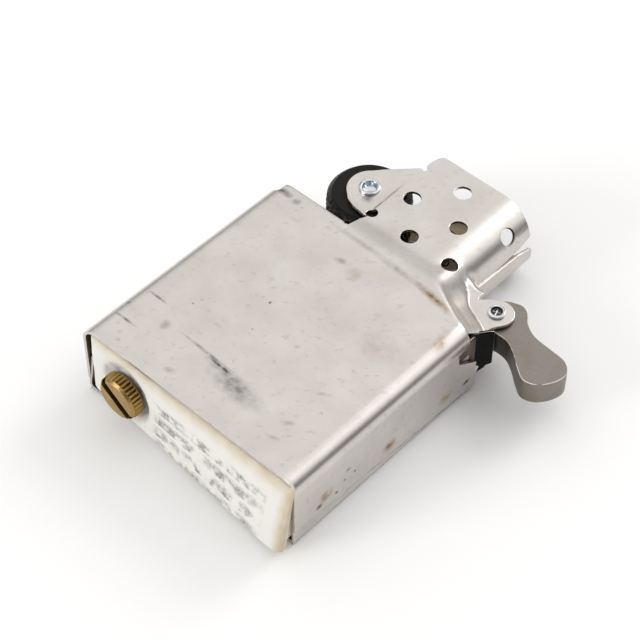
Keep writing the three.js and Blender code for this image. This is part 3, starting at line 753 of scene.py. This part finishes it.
shell = {
    "frontRadius": 2.4,
    "rearRadius": 0.8,
    "seamLow": 2.6,  # the front shell's side flange ends this far from the back at the felt end
    "seamHigh": 0.6,  # and this far at the deck
    "seamPlain": 1.75,
    "roundX": 5.5,
    "roundRadius": casing["wallZ"] - middle,
    "slitHalf": 0.2,  # radians left open at the top of the round end
    "rearRound": (7.7, 3.05),  # the rear half turns later and tighter, so its edge stands outside
    "rearLonger": 1.5,
    "holeRadius": 1.18,
    "flatHoles": [(1.1, 39.0), (8.0, 39.0), (-3.1, 44.4), (4.7, 44.4), (1.1, 49.6)],
    "roundHole": (48.9, 0.89),  # height and angle round from the flat
    "chimneyLeft": -5.2,
    "earRelief": (-5.2, 38.9, 0.78),
    "camEar": (16.77, 38.35, 2.25),
    "camSideTop": 32.9,
    "wheelSideTop": 33.0,
    "lipRadius": 0.8,
    "lipStart": 34.2,
    "lipEnd": 37.4,
    "edgeRound": 0.09,
    "foldTop": 34.6,  # the fold's height over the chimney; it drops by foldDrop over the cam
    "foldDrop": 3.0,
    "foldReach": 8.6,
    "foldSlope": (0.3, 0.85),  # over the chimney, and over the cam
    "lipPast": -5.55,  # the lip runs from here to the wheel side, below lipBelow
    "lipBelow": 38.0,
    "plainBelow": 30,  # the panel is flat below this
    "sideBelow": 34,  # and its flanges below this
    "earPast": 14.3,  # the cam ear, below earBelow, stays level
    "earBelow": 41,
    "roundFrom": 39.7,  # from here up the cam side rolls into the round end
    "roundOver": 1.9,
    "flareReach": 6.0,
    "flareLonger": 1.8,
    "flareFrom": 37.3,
    "flareOver": 2.2,
    "earPressed": 0.2,  # the wheel ear is pressed in by this at the axle, less above it
    "pressedRise": 0.06,
    "tuck": (0.12, 0.42),  # the rear half's flange steps in by this much, and by both past the seam
}


def foldY(x):
    # where the panel starts to drop toward the chimney
    return shell["foldTop"] - shell["foldDrop"] * smoothStep((x - shell["foldReach"]) / shell["foldReach"])


def roundSection(u, start=shell["roundX"], radius=shell["roundRadius"]):
    s = u - start
    if s <= 0:
        return u, casing["wallZ"]
    turn = min(s / radius, math.pi / 2)
    past = s - radius * turn
    return start + radius * math.sin(turn), casing["wallZ"] - radius + radius * math.cos(turn) - past


def flareSection(u, v):
    # out of the flat along the round, then back to level on the cam ear's plane
    s = u - shell["roundX"]
    if s <= 0:
        return u, casing["wallZ"]
    radius = shell["roundRadius"]
    drop = casing["wallZ"] - casing["earZ"]
    longer = min(1, max(0, (v - shell["flareFrom"]) / shell["flareOver"]))
    reach = shell["flareReach"] + shell["flareLonger"] * longer
    angle = 2 * math.atan(drop / reach)
    total = drop / (1 - math.cos(angle))
    back = total - radius
    if s < radius * angle:
        return roundSection(u)
    if s < total * angle:
        left = angle - (s - radius * angle) / back
        x = shell["roundX"] + total * math.sin(angle) - back * math.sin(left)
        return x, casing["earZ"] + back * (1 - math.cos(left))
    return shell["roundX"] + reach + s - total * angle, casing["earZ"]


def panelSection(u, radius):
    a = abs(u)
    flat = half - radius
    side = math.copysign(1, u)
    turn = (a - flat) / radius
    if turn <= 0:
        return u, thickness
    if turn <= math.pi / 2:
        return side * (flat + radius * math.sin(turn)), thickness - radius + radius * math.cos(turn)
    return side * half, thickness - radius - (a - flat - radius * math.pi / 2)


def upperSurface(u, v, radius, endRound):
    # the panel, its shoulder, the chimney wall and both ears, as one bent sheet
    px, pz = panelSection(u, radius)
    if u < shell["lipPast"] and v < shell["lipBelow"]:
        turn = (v - shell["lipStart"]) / shell["lipRadius"]
        if turn <= 0:
            return px, v, pz
        lip = shell["lipRadius"]
        if turn <= math.pi / 2:
            return px, shell["lipStart"] + lip * math.sin(turn), pz - lip + lip * math.cos(turn)
        return px, shell["lipStart"] + lip, pz - lip - (v - shell["lipStart"] - lip * math.pi / 2)
    onSide = abs(u) > half - radius + radius * math.pi / 2
    if v < shell["plainBelow"] or (v < shell["sideBelow"] and onSide):
        return px, v, pz
    fx, fz = flareSection(u, v)
    rx, rz = roundSection(u, *endRound)
    onEar = u > shell["earPast"] and v < shell["earBelow"]
    up = 0 if onEar else smoothStep((v - shell["roundFrom"]) / shell["roundOver"])
    x, z = fx + (rx - fx) * up, fz + (rz - fz) * up
    if u < shell["chimneyLeft"]:
        pressed = max(0.0, shell["earPressed"] - shell["pressedRise"] * (v - wheelAxis.y))
        z -= pressed * smoothStep((shell["chimneyLeft"] - 0.1 - u) / 0.5)
    past = v - foldY(u)
    low, steep = shell["foldSlope"]
    slope = low + (steep - low) * smoothStep((u - 8) / 6)
    fall = slope / 2 * (past + math.sqrt(past * past + 0.3))
    into = smoothStep((v - 33.0) / 3.0)
    x = px + (x - px) * into if v < 36.5 else x
    return x, v, min(thickness, softMax(pz - fall, z, 0.3))


def frontSurface(u, v):
    return upperSurface(u, v, shell["frontRadius"], (shell["roundX"], shell["roundRadius"]))


def rearSurface(u, v):
    # drawn as a front shell, with its flanges stepped in to pass inside the other shell's
    x, y, z = upperSurface(u, v, shell["rearRadius"], shell["rearRound"])
    if abs(x) > half - 0.3 and v < 33.5:
        slant = shell["seamLow"] + (shell["seamHigh"] - shell["seamLow"]) * v / 32
        seam = slant if u > 0 else shell["seamPlain"]
        outside, inside = shell["tuck"]
        tucked = outside + inside * smoothStep((thickness - z - seam) / 0.4)
        x -= math.copysign(tucked, x)
    return x, y, z


def chimneyOutline(longer=0.0):
    # from the cam side of the shoulder, round both ears, to the wheel side of the panel
    earX, earY, earRadius = shell["camEar"]
    slit = shell["roundX"] + shell["roundRadius"] * (math.pi / 2 - shell["slitHalf"])
    top = casing["chimneyTop"]
    left = shell["chimneyLeft"]
    return [
        (17.2, 31.5), (17.5, 34.4), (18.0, 36.1),
        *arc(earX, earY, earRadius, -0.75, 2.3, 24),
        (14.35, 39.3), (13.9, 38.75), (13.65, 38.6), (13.5, 38.9), (13.42, 40.2),
        (13.4 + longer / 2, 41.0), (13.3 + longer, 41.6), (13.1 + longer, 45.0), (12.9 + longer, 49.6),
        (slit + longer * 0.9, top - 0.7), (slit + longer * 0.9 - 0.35, top - 0.4),
        (shell["roundX"] + 2.5, top - 0.12), (shell["roundX"], top),
        *arc(left + 0.75, top - 0.95, 0.95, math.pi / 2, math.pi * 0.98, 8),
        (left - 0.4, 51.2), (left - 0.42, 50.2), (left + 0.02, 49.95), (left + 0.1, 49.5),
        (left - 0.1, 49.2), (left - 0.55, 49.35), (left - 0.9, 49.15),
        (-9.4, 45.75), *arc(wheelAxis.x, wheelAxis.y, 3.08, 2.2, 4.05, 22),
        (-9.4, 38.9), (-8.0, 38.38), (left - 0.75, 38.08), (left - 0.3, 38.05), (left - 0.2, 38.3),
        (left, 38.35), (left - 0.1, 37.7), (left - 0.45, 36.6), (left - 0.5, 34.8), (left - 0.75, 34.45),
        (left - 1.0, 34.8),
        (left - 1.0, shell["lipEnd"]), (-15.9, shell["lipEnd"]), (-16.15, 37.0), (-16.25, 33.4),
        (-16.45, shell["wheelSideTop"]),
    ]


def punchAndBend(name, outline, surface, radius, shadedFlangeFrom=99):
    blank = plate(name, outline, -casing["sheet"], 0)
    giveMaterials(blank, [stainless, sootAndShade, steelEdge])
    round48, roundTurn = shell["roundHole"]
    holes = [*shell["flatHoles"], (shell["roundX"] + shell["roundRadius"] * roundTurn, round48)]
    cutters = [drill(x, y, shell["holeRadius"]) for x, y in holes]
    cutters.append(drill(*shell["earRelief"]))
    cutters.append(drill(wheelAxis.x, wheelAxis.y, 1.3))
    cutters.append(drill(shell["camEar"][0], shell["camEar"][1], 0.9))
    cutAway(blank, cutters)
    applyModifier(blank, "BEVEL", width=shell["edgeRound"], segments=2, limit_method="ANGLE",
                  angle_limit=math.radians(50), use_clamp_overlap=False, material=2)
    flat = half - radius
    corner = [flat + radius * math.pi / 2 * i / 12 for i in range(13)]
    score(blank, "x", [-place for place in corner] + corner)
    score(blank, "x", spread(shell["roundX"], 15.8, 0.3))
    score(blank, "x", spread(shell["chimneyLeft"] - 0.7, shell["chimneyLeft"], 0.12))
    score(blank, "x", spread(flat + radius * math.pi / 2 + 6, 27.2, 0.3) if radius < 1.5 else [])
    score(blank, "x", spread(-27.2, -(flat + radius * math.pi / 2 + 6), 0.3) if radius < 1.5 else [])
    score(blank, "y", spread(31.3, 41.9, 0.3) + [44, 46, 48, 50])
    score(blank, "y", spread(5, 30, 5))
    # past the given place, the outer side of the rear shell's flange gets the brown film too: painted shade
    # where it shows in the notch at the cam corner
    for face in blank.data.polygons:
        hidden = face.center.x > shadedFlangeFrom and face.center.y < 33.4
        if face.material_index == 0 and (hidden or face.normal.z < -0.5):
            face.material_index = 1
    bend(blank, surface)
    return blank


def buildFrontShell():
    run = half - shell["frontRadius"] + shell["frontRadius"] * math.pi / 2 + thickness - shell["frontRadius"]
    seamLow, seamHigh, seamPlain = (run - shell[key] for key in ("seamLow", "seamHigh", "seamPlain"))
    top = shell["camSideTop"]
    outline = [
        (-seamPlain, 0.0), (seamLow - 0.3, 0.0), (seamLow, 0.3), (seamHigh, top - 0.3),
        (seamHigh - 0.3, top), (run - 5.1, top), (run - 6.2, 31.2), (run - 7.2, 29.7),
        (run - 7.7, 29.35), (run - 9.3, 29.2), (run - 9.6, 30.4), (run - 9.9, 31.4),
        *chimneyOutline(), (-seamPlain, shell["wheelSideTop"]),
    ]
    front = punchAndBend("frontShell", outline, frontSurface, shell["frontRadius"])
    return finishPiece(front, "casing", replaces=["front_shell"])


def buildRearShell():
    radius = shell["rearRadius"]
    straight = half - radius + radius * math.pi / 2
    camReach = straight + thickness - radius - 2.3  # the hidden flange rises to just under the far panel
    wheelReach = straight + thickness - radius - 5.8
    outline = [
        (-wheelReach, 0.4), (-straight - 0.4, 0.0), (straight + 0.4, 0.0), (camReach, 0.4),
        (camReach, 32.6), (camReach - 0.4, 33.1), (camReach - 5.5, 33.1), (camReach - 5.8, 32.0),
        (19.0, 31.9), (18.7, 31.4),
        *chimneyOutline(longer=shell["rearLonger"]), (-straight - 0.5, shell["wheelSideTop"]),
        (-wheelReach, shell["wheelSideTop"] - 0.2),
    ]
    rear = punchAndBend("rearShell", outline, rearSurface, radius, straight + shell["seamLow"] + 0.9)
    rear.data.transform(Matrix.Translation((0, 0, thickness)) @ Matrix.Scale(-1, 4, (0, 0, 1)))
    startEdit(rear)
    bpy.ops.mesh.flip_normals()
    endEdit()
    return finishPiece(rear, "casing", replaces=["rear_shell"])


buildFrontShell()
buildRearShell()
print("both shells are bent")

# rivets

def buildWheelRivet():
    # a tube with both ends rolled outward over the ears
    rivet = {"bore": 0.92, "shank": 1.2, "roll": 0.29, "rollCentre": 1.22, "deep": 0.75}
    top = nodeBox("wheel_rivet")[1].z - rivet["roll"] - 0.02
    roll = arc(rivet["rollCentre"], top, rivet["roll"], math.pi, -0.45 * math.pi, 12)
    floorAt = top - rivet["deep"]
    side = [(0, floorAt - 0.12), (0.35, floorAt - 0.06), (rivet["bore"], floorAt + 0.1), *roll,
            (rivet["shank"], top - rivet["roll"])]
    front = [(radius, height - middle) for radius, height in side]
    profile = front + [(radius, -height) for radius, height in reversed(front)]
    piece = turned("wheelRivet", profile, 40, at=(wheelAxis.x, wheelAxis.y, middle))
    return finishPiece(piece, "casing", [zincPlate], ["wheel_rivet"])


def buildCamRivet():
    rivet = {"shank": 0.78, "head": 1.14, "dish": 0.68, "deep": 0.2, "crossWide": 0.15, "crossLong": 1.05}
    high = nodeBox("cam_rivet")[1].z - middle
    under = casing["earZ"] - middle + 0.05
    side = [
        (0, high - rivet["deep"]), (rivet["dish"], high - rivet["deep"]), (rivet["dish"] + 0.1, high),
        (rivet["head"] - 0.2, high), *arc(rivet["head"] - 0.14, high - 0.14, 0.14, math.pi / 2, 0, 4),
        (rivet["head"], under + 0.02), (rivet["shank"], under),
    ]
    profile = side + [(radius, -height) for radius, height in reversed(side)]
    piece = turned("camRivet", profile, 32, at=(camAxis.x, camAxis.y, middle))
    giveMaterials(piece, [zincPlate, sootAndShade])
    # the dish's floor takes the dark brown film: painted shade in the recess
    for face in piece.data.polygons:
        out = math.hypot(face.center.x - camAxis.x, face.center.y - camAxis.y)
        if out < rivet["dish"] + 0.08 and abs(face.center.z - middle) > high - rivet["deep"] - 0.05:
            face.material_index = 1
    crosses = []
    for turn in (0.35, 0.35 + math.pi / 2):
        bpy.ops.mesh.primitive_cube_add(
            size=1, location=(camAxis.x, camAxis.y, middle + high), rotation=(0, 0, turn),
            scale=(rivet["crossLong"], rivet["crossWide"], 0.7))
        crosses.append(newest("cross"))
    cutAway(piece, crosses[:1])
    cutAway(piece, crosses[1:])
    return finishPiece(piece, "casing", replaces=["cam_rivet"])


# ignition

wheel = {"teeth": 44, "depth": 0.26, "band": 2.85, "lean": 0.42, "bore": 1.45, "rows": 20}


def buildWheel():
    low, high = nodeBox("flint_wheel")
    radius, reach = (high.x - low.x) / 2, (high.z - low.z) / 2
    rim, band = radius - 0.15, wheel["band"]
    side = [(wheel["bore"], reach - 0.25), (wheel["bore"] + 0.25, reach), (rim - 0.75, reach),
            (rim - 0.66, reach - 0.06), (rim - 0.14, reach - 0.62), (rim - 0.03, reach - 0.75),
            (rim, reach - 0.9), (rim, band + 0.3), (rim - 0.08, band + 0.2), (rim - 0.42, band + 0.04)]
    rows = [(radius - 0.02, band * (1 - 2 * i / wheel["rows"])) for i in range(wheel["rows"] + 1)]
    profile = side + rows + [(r, -z) for r, z in reversed(side)]
    piece = turned("flintWheel", profile, wheel["teeth"] * 6)
    for vertex in piece.data.vertices:
        x, y, z = vertex.co
        if abs(z) > band + 0.001 or math.hypot(x, y) < radius - 0.1:
            continue
        round44 = math.atan2(y, x) / (2 * math.pi) * wheel["teeth"]
        ridges = [abs(((round44 + way * z * wheel["lean"]) % 1) * 2 - 1) for way in (1, -1)]
        cut = 1 - min(ridges) if min(ridges) < 0.55 else 0.45 - (min(ridges) - 0.55)
        vertex.co *= 1 - wheel["depth"] * cut / radius
        vertex.co.z = z
    piece.data.transform(Matrix.Translation((wheelAxis.x, wheelAxis.y, middle)))
    return finishPiece(piece, "wheel", [blackSteel], ["flint_wheel"], angle=28)


screw = {"headRadius": 3.15, "face": -2.3, "back": -0.2, "teeth": 32, "knurl": 0.3, "slotWide": 1.3,
         "slotDeep": 1.05, "slotTurn": -0.65, "shank": 1.3, "crest": 1.55, "pitch": 0.5, "threads": 9}


def buildScrew():
    r, face, back = screw["headRadius"], screw["face"], screw["back"]
    head = [(0, face), (r - 0.62, face), *arc(r - 0.62, face + 0.34, 0.34, -math.pi / 2, -0.3, 4),
            (r - 0.16, face + 0.38), (r, face + 0.55), (r, face + 0.8), (r, face + 1.1), (r, face + 1.4),
            (r, back - 0.4), (r - 0.14, back - 0.24), (r - 0.35, back - 0.12), (r - 0.5, back), (1.5, back)]
    shank, crest = screw["shank"], screw["crest"]
    threads = []
    for i in range(screw["threads"]):
        start = 1.3 + i * screw["pitch"]
        threads += [(shank, start), (shank + 0.05, start + 0.12), (crest, start + 0.23),
                    (crest, start + 0.29), (shank + 0.05, start + 0.4)]
    profile = head + [(shank, back + 0.15)] + threads + [(shank, 5.9), (1.05, 6.2), (0, 6.2)]
    piece = turned("flintScrew", profile, screw["teeth"] * 4, axis="Y")
    for vertex in piece.data.vertices:
        x, y, z = vertex.co
        distance = math.hypot(x, z)
        if distance > r - 0.05 and y > face + 0.5:
            ridge = abs((math.atan2(z, x) / (2 * math.pi) * screw["teeth"]) % 1 * 2 - 1)
            shrink = 1 - screw["knurl"] * (1 - ridge) / distance
            vertex.co.x, vertex.co.z = x * shrink, z * shrink
    bpy.ops.mesh.primitive_cube_add(
        size=1, location=(0, face, 0), scale=(8, 2 * screw["slotDeep"], screw["slotWide"]))
    cutAway(piece, [newest("slot")])
    turn = Matrix.Rotation(-screw["slotTurn"], 4, "Y")
    piece.data.transform(Matrix.Translation((screwAxis.x, 0, middle)) @ turn)
    applyModifier(piece, "BEVEL", width=0.05, segments=1, limit_method="ANGLE", angle_limit=math.radians(70),
                  use_clamp_overlap=True)
    return finishPiece(piece, "screw", [turnedBrass], ["flint_screw"], angle=40)


# lid cam and its spring

lever = {
    "outline": [(1.1, 3.7), (2.5, 3.15), (3.7, 1.8), (5.6, 0.8), (8.3, 0.5), (10.8, 0.15),
                (12.1, -1.2), (11.9, -3.1), (10.6, -5.0), (8.8, -5.6), (7.1, -4.6), (5.2, -3.1),
                (3.4, -2.15), (1.0, -2.05), (-1.0, -1.95), (-2.0, -0.9), (-2.0, 0.9), (-1.0, 2.7)],
    "bore": 1.0,
    "edge": 0.12,
}


def roundedLoop(points, steps):
    # a smooth closed line through the points
    made = []
    for i in range(len(points)):
        a, b, c, d = (Vector(points[(i + k) % len(points)]) for k in (-1, 0, 1, 2))
        for j in range(steps):
            t = j / steps
            made.append(tuple(0.5 * (2 * b + (c - a) * t + (2 * a - 5 * b + 4 * c - d) * t * t
                                     + (3 * b - a - 3 * c + d) * t ** 3)))
    return made


def buildLever():
    low, high = nodeBox("cam_lever")
    outline = [(camAxis.x + x, camAxis.y + y) for x, y in reversed(roundedLoop(lever["outline"], 8))]
    piece = plate("camLever", outline, low.z, high.z)
    giveMaterials(piece, [brushedSteel, wornEdgeAndHighlight])
    cutAway(piece, [drill(camAxis.x, camAxis.y, lever["bore"], z=middle)])
    # the rounded edge takes the worn edge finish, with its painted highlight
    applyModifier(piece, "BEVEL", width=lever["edge"], segments=3, limit_method="ANGLE",
                  angle_limit=math.radians(50), material=1)
    return finishPiece(piece, "cam", replaces=["cam_lever"])


spring = {"leaf": 0.3, "bendStart": 32.9, "bendRadius": 2.0, "lean": 0.5}


def buildCamSpring():
    inner = nodeBox("cam_spring")[0].x
    front = [(3.2, 14), (3.7, 24), (3.6, 31.9), (3.2, 33.4), (2.9, 35.6), (2.6, 36.2), (2.3, 36.3)]
    back = [(3.2, 14), (4.2, 24), (5.3, 32.4), (5.2, 33.2), (4.0, 35.2), (3.6, 35.5), (3.5, 36.2),
            (3.3, 36.3)]
    outline = [(middle + u, v) for u, v in front] + [(middle - u, v) for u, v in reversed(back)]

    def leafSurface(u, v):
        s = v - spring["bendStart"]
        if s <= 0:
            return inner, v, u
        turn = min(s / spring["bendRadius"], spring["lean"])
        x = inner + spring["bendRadius"] * (1 - math.cos(turn))
        y = spring["bendStart"] + spring["bendRadius"] * math.sin(turn)
        past = max(0, s - spring["bendRadius"] * spring["lean"])
        return x + past * math.sin(turn), y + past * math.cos(turn), u

    piece = plate("camSpring", outline, -spring["leaf"], 0)
    giveMaterials(piece, [blackSpring, springEdge])
    applyModifier(piece, "BEVEL", width=0.05, segments=2, limit_method="ANGLE",
                  angle_limit=math.radians(50), use_clamp_overlap=False, material=1)
    score(piece, "y", spread(spring["bendStart"], spring["bendStart"] + 1.05, 0.15))
    bend(piece, leafSurface)
    startEdit(piece)
    bpy.ops.mesh.normals_make_consistent(inside=False)
    endEdit()
    return finishPiece(piece, "casing", replaces=["cam_spring"])


# fuel and felt

def buildWick():
    # braided cotton: strands that cross over each other round a cord
    low, high = nodeBox("wick")
    centreX, radius = (low.x + high.x) / 2, (high.x - low.x) / 2
    strands, rise = 8, 0.28
    rows = spread(low.y, high.y - 0.3, 0.16)
    cord = [(radius - 0.12, y) for y in rows]
    profile = [(0, low.y), *cord, (radius - 0.35, high.y - 0.1), (0, high.y - 0.2)]
    piece = turned("wick", profile, 64, axis="Y")
    for vertex in piece.data.vertices:
        x, y, z = vertex.co
        distance = math.hypot(x, z)
        if distance < 0.1:
            continue
        around = math.atan2(z, x) / (2 * math.pi) * strands
        over = max(abs(math.sin(math.pi * (around + way * y * rise))) for way in (1, -1))
        grown = 1 + (0.13 * over - 0.08 + 0.05 * noise.noise(vertex.co * 2.5)) / distance
        fray = max(0, y - high.y + 1.2) * 0.12 * noise.noise(vertex.co * 4)
        vertex.co = (x * grown + fray, y + fray, z * grown - fray)
    piece.data.transform(Matrix.Translation((centreX, 0, middle)))
    return finishPiece(piece, "casing", [braidedCotton], ["wick"], angle=60)


def buildWickWire():
    low, high = nodeBox("wick_wire")
    centreX, radius, wire, turns = (low.x + high.x) / 2, (high.x - low.x) / 2 - 0.11, 0.11, 5
    bpy.ops.mesh.primitive_circle_add(
        vertices=8, radius=wire, location=(radius, 0, 0), rotation=(math.pi / 2, 0, 0))
    piece = newest("wickWire")
    rise = (high.y - low.y - 2 * wire) / turns
    applyModifier(piece, "SCREW", axis="Z", angle=2 * math.pi, screw_offset=rise, iterations=turns,
                  steps=28, render_steps=28, use_smooth_shade=True)
    startEdit(piece)
    bpy.ops.mesh.fill_holes(sides=12)
    bpy.ops.mesh.select_all(action="SELECT")
    bpy.ops.mesh.normals_make_consistent(inside=False)
    endEdit()
    upright = Matrix.Rotation(-math.pi / 2, 4, "X")
    piece.data.transform(Matrix.Translation((centreX, low.y + wire, middle)) @ upright)
    return finishPiece(piece, "casing", [copperWire], ["wick_wire"])


felt = {"left": -16.85, "right": 17.1, "low": 0.6, "high": 11.15, "thick": 2.8, "back": 2.3,
        "proudLeft": 0.15, "proudRight": 3.1, "foldStart": -7.2, "foldEnd": -3.6}


def feltFace(x, z):
    # how far out the face lies: level at the front rim, and out more toward the back and cam side
    along = (x - felt["left"]) / (felt["right"] - felt["left"])
    across = max(0.0, (felt["high"] - z) / (felt["high"] - felt["low"]))
    proud = felt["proudLeft"] + (felt["proudRight"] - felt["proudLeft"]) * along
    y = -0.05 - proud * across ** 0.7
    pressed = smoothStep((math.hypot(x - screwAxis.x, z - middle) - screw["headRadius"] - 0.1) / 1.1)
    return y * pressed + 0.05 * (1 - pressed)


def buildFelt():
    # one strip: it lies level at the screw end and bulges out at the cam side
    bpy.ops.mesh.primitive_cube_add(
        size=1, location=((felt["left"] + felt["right"]) / 2, 0, middle),
        scale=(felt["right"] - felt["left"], felt["thick"], felt["high"] - felt["low"]))
    piece = newest("felt")
    applyModifier(piece, "BEVEL", width=1.1, segments=6, limit_method="ANGLE", angle_limit=math.radians(50))
    score(piece, "x", spread(felt["left"] + 1.1, felt["right"] - 1.1, 0.3))
    score(piece, "z", spread(felt["low"] + 1.1, felt["high"] - 1.1, 0.3))
    score(piece, "y", [-0.2, 0.1])
    cutAway(piece, [turned("hole", [(0, -4), (2.0, -4), (2.0, 4), (0, 4)], 36, axis="Y",
                           at=(screwAxis.x, 0, middle))])
    for vertex in piece.data.vertices:
        x, y, z = vertex.co
        outward = 0.5 - y / felt["thick"]
        along = (x - felt["left"]) / (felt["right"] - felt["left"])
        fuzz = 0.11 * noise.noise(Vector((x * 0.45, 0, z * 0.45))) + 0.025 * noise.noise(vertex.co * 1.5)
        grown = smoothStep((outward - 0.5) / 0.35)
        vertex.co.y = felt["back"] + (feltFace(x, z) - felt["back"] + fuzz) * outward
        vertex.co.z = middle + (z - middle) * (1 + 0.05 * grown * along)
        vertex.co.x = x + 1.0 * grown * smoothStep((along - 0.93) / 0.07)
    finishPiece(piece, "casing", [woolFelt], ["felt_pad", "felt_flap"], angle=60)
    piece.parent = None
    piece.matrix_world = Matrix.Identity(4)
    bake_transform(piece)
    return piece


wool = {"tufts": [(0.13, 2.2), (0.06, 6), (0.03, 15)], "wads": 6}  # how deep, how fine


def buildWads():
    # cotton wool pulled into tufts, one for each place between the wick's folds
    bpy.ops.mesh.primitive_ico_sphere_add(subdivisions=5, radius=1)
    tuft = newest("tuft")
    for vertex in tuft.data.vertices:
        where = vertex.co.copy()
        pulled = 0.86 + sum(deep * noise.noise(where * fine) for deep, fine in wool["tufts"])
        vertex.co = where * min(pulled, 0.99)
    for i in range(1, wool["wads"] + 1):
        low, high = nodeBox(f"cotton_wad_{i}")
        wad = tuft.copy()
        wad.data = tuft.data.copy()
        wad.name = f"cottonWad{i}"
        bpy.context.scene.collection.objects.link(wad)
        size = (high - low) / 2
        wad.data.transform(Matrix.Translation((low + high) / 2) @ Matrix.Diagonal((*size, 1)))
        finishPiece(wad, "casing", [cottonWool], [f"cotton_wad_{i}"], angle=60)
    bpy.data.objects.remove(tuft)


def copyOf(node, name):
    # a new piece that starts with a designed piece's shape, in drawing millimetres
    source = frame["nodes"][node]
    piece = bpy.data.objects.new(name, source.data.copy())
    bpy.context.collection.objects.link(piece)
    piece.data.transform(toDrawing @ source.matrix_world)
    piece.data.materials.clear()
    return piece


def buildDeckPlate():
    # its cam-side corners drop with the shoulders over them
    deck = {"cornerFrom": 13.0, "cornerReach": 3.4}
    piece = copyOf("deck_plate", "deckPlate")
    for vertex in piece.data.vertices:
        if vertex.co.x > deck["cornerFrom"] and abs(vertex.co.z - middle) > deck["cornerReach"]:
            vertex.co.z = middle + math.copysign(deck["cornerReach"], vertex.co.z - middle)
    return finishPiece(piece, "casing", [sootAndShade], ["deck_plate"])


def buildFlintSpring():
    # the spring shortens as the flint and its pusher come back toward the screw; here it is the designed
    # shape, copied onto a mesh of its own
    piece = copyOf("flint_spring", "flintSpring")
    finishPiece(piece, "screw_carriage", [springWire], ["flint_spring"], angle=60)
    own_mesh(piece)
    return piece


def dressCadNodes():
    # pieces that stay as designed, hidden or half hidden in the casing
    finishes = {"flint_tube": (turnedBrass, "brass"), "tube_ferrule": (turnedBrass, "brass"),
                "flint_pusher": (turnedBrass, "brass"), "flint": (flintAlloy, "flint")}
    for name, (material, slotName) in finishes.items():
        node = frame["nodes"][name]
        node.data.materials.clear()
        node.data.materials.append(material)


zincPlate = mottled("zincPlatedSteel")
blackSteel = blackenedSteel()
turnedBrass = turnedBrassRod()
brushedSteel = brushedLeverSteel()
wornEdgeAndHighlight = mottled("wornLeverEdgeAndHighlight")
blackSpring = mottled("bluedSpringSteel")
springEdge = groundSpringEdge()
springWire = mottled("drawnSpringWire")
flintAlloy = mottled("ferroceriumRod")
braidedCotton = braidedCottonWick()
copperWire = mottled("drawnCopper")
cottonWool = cottonWadding()
woolFelt = pressedWoolFelt()
print("all finishes are ready")

buildWheelRivet()
buildCamRivet()
buildWheel()
buildScrew()
print("ignition is built")
buildLever()
buildCamSpring()
buildWick()
buildWickWire()
buildFelt()
buildWads()
buildDeckPlate()
buildFlintSpring()
dressCadNodes()
print("cam, wick, felt and wads are built")
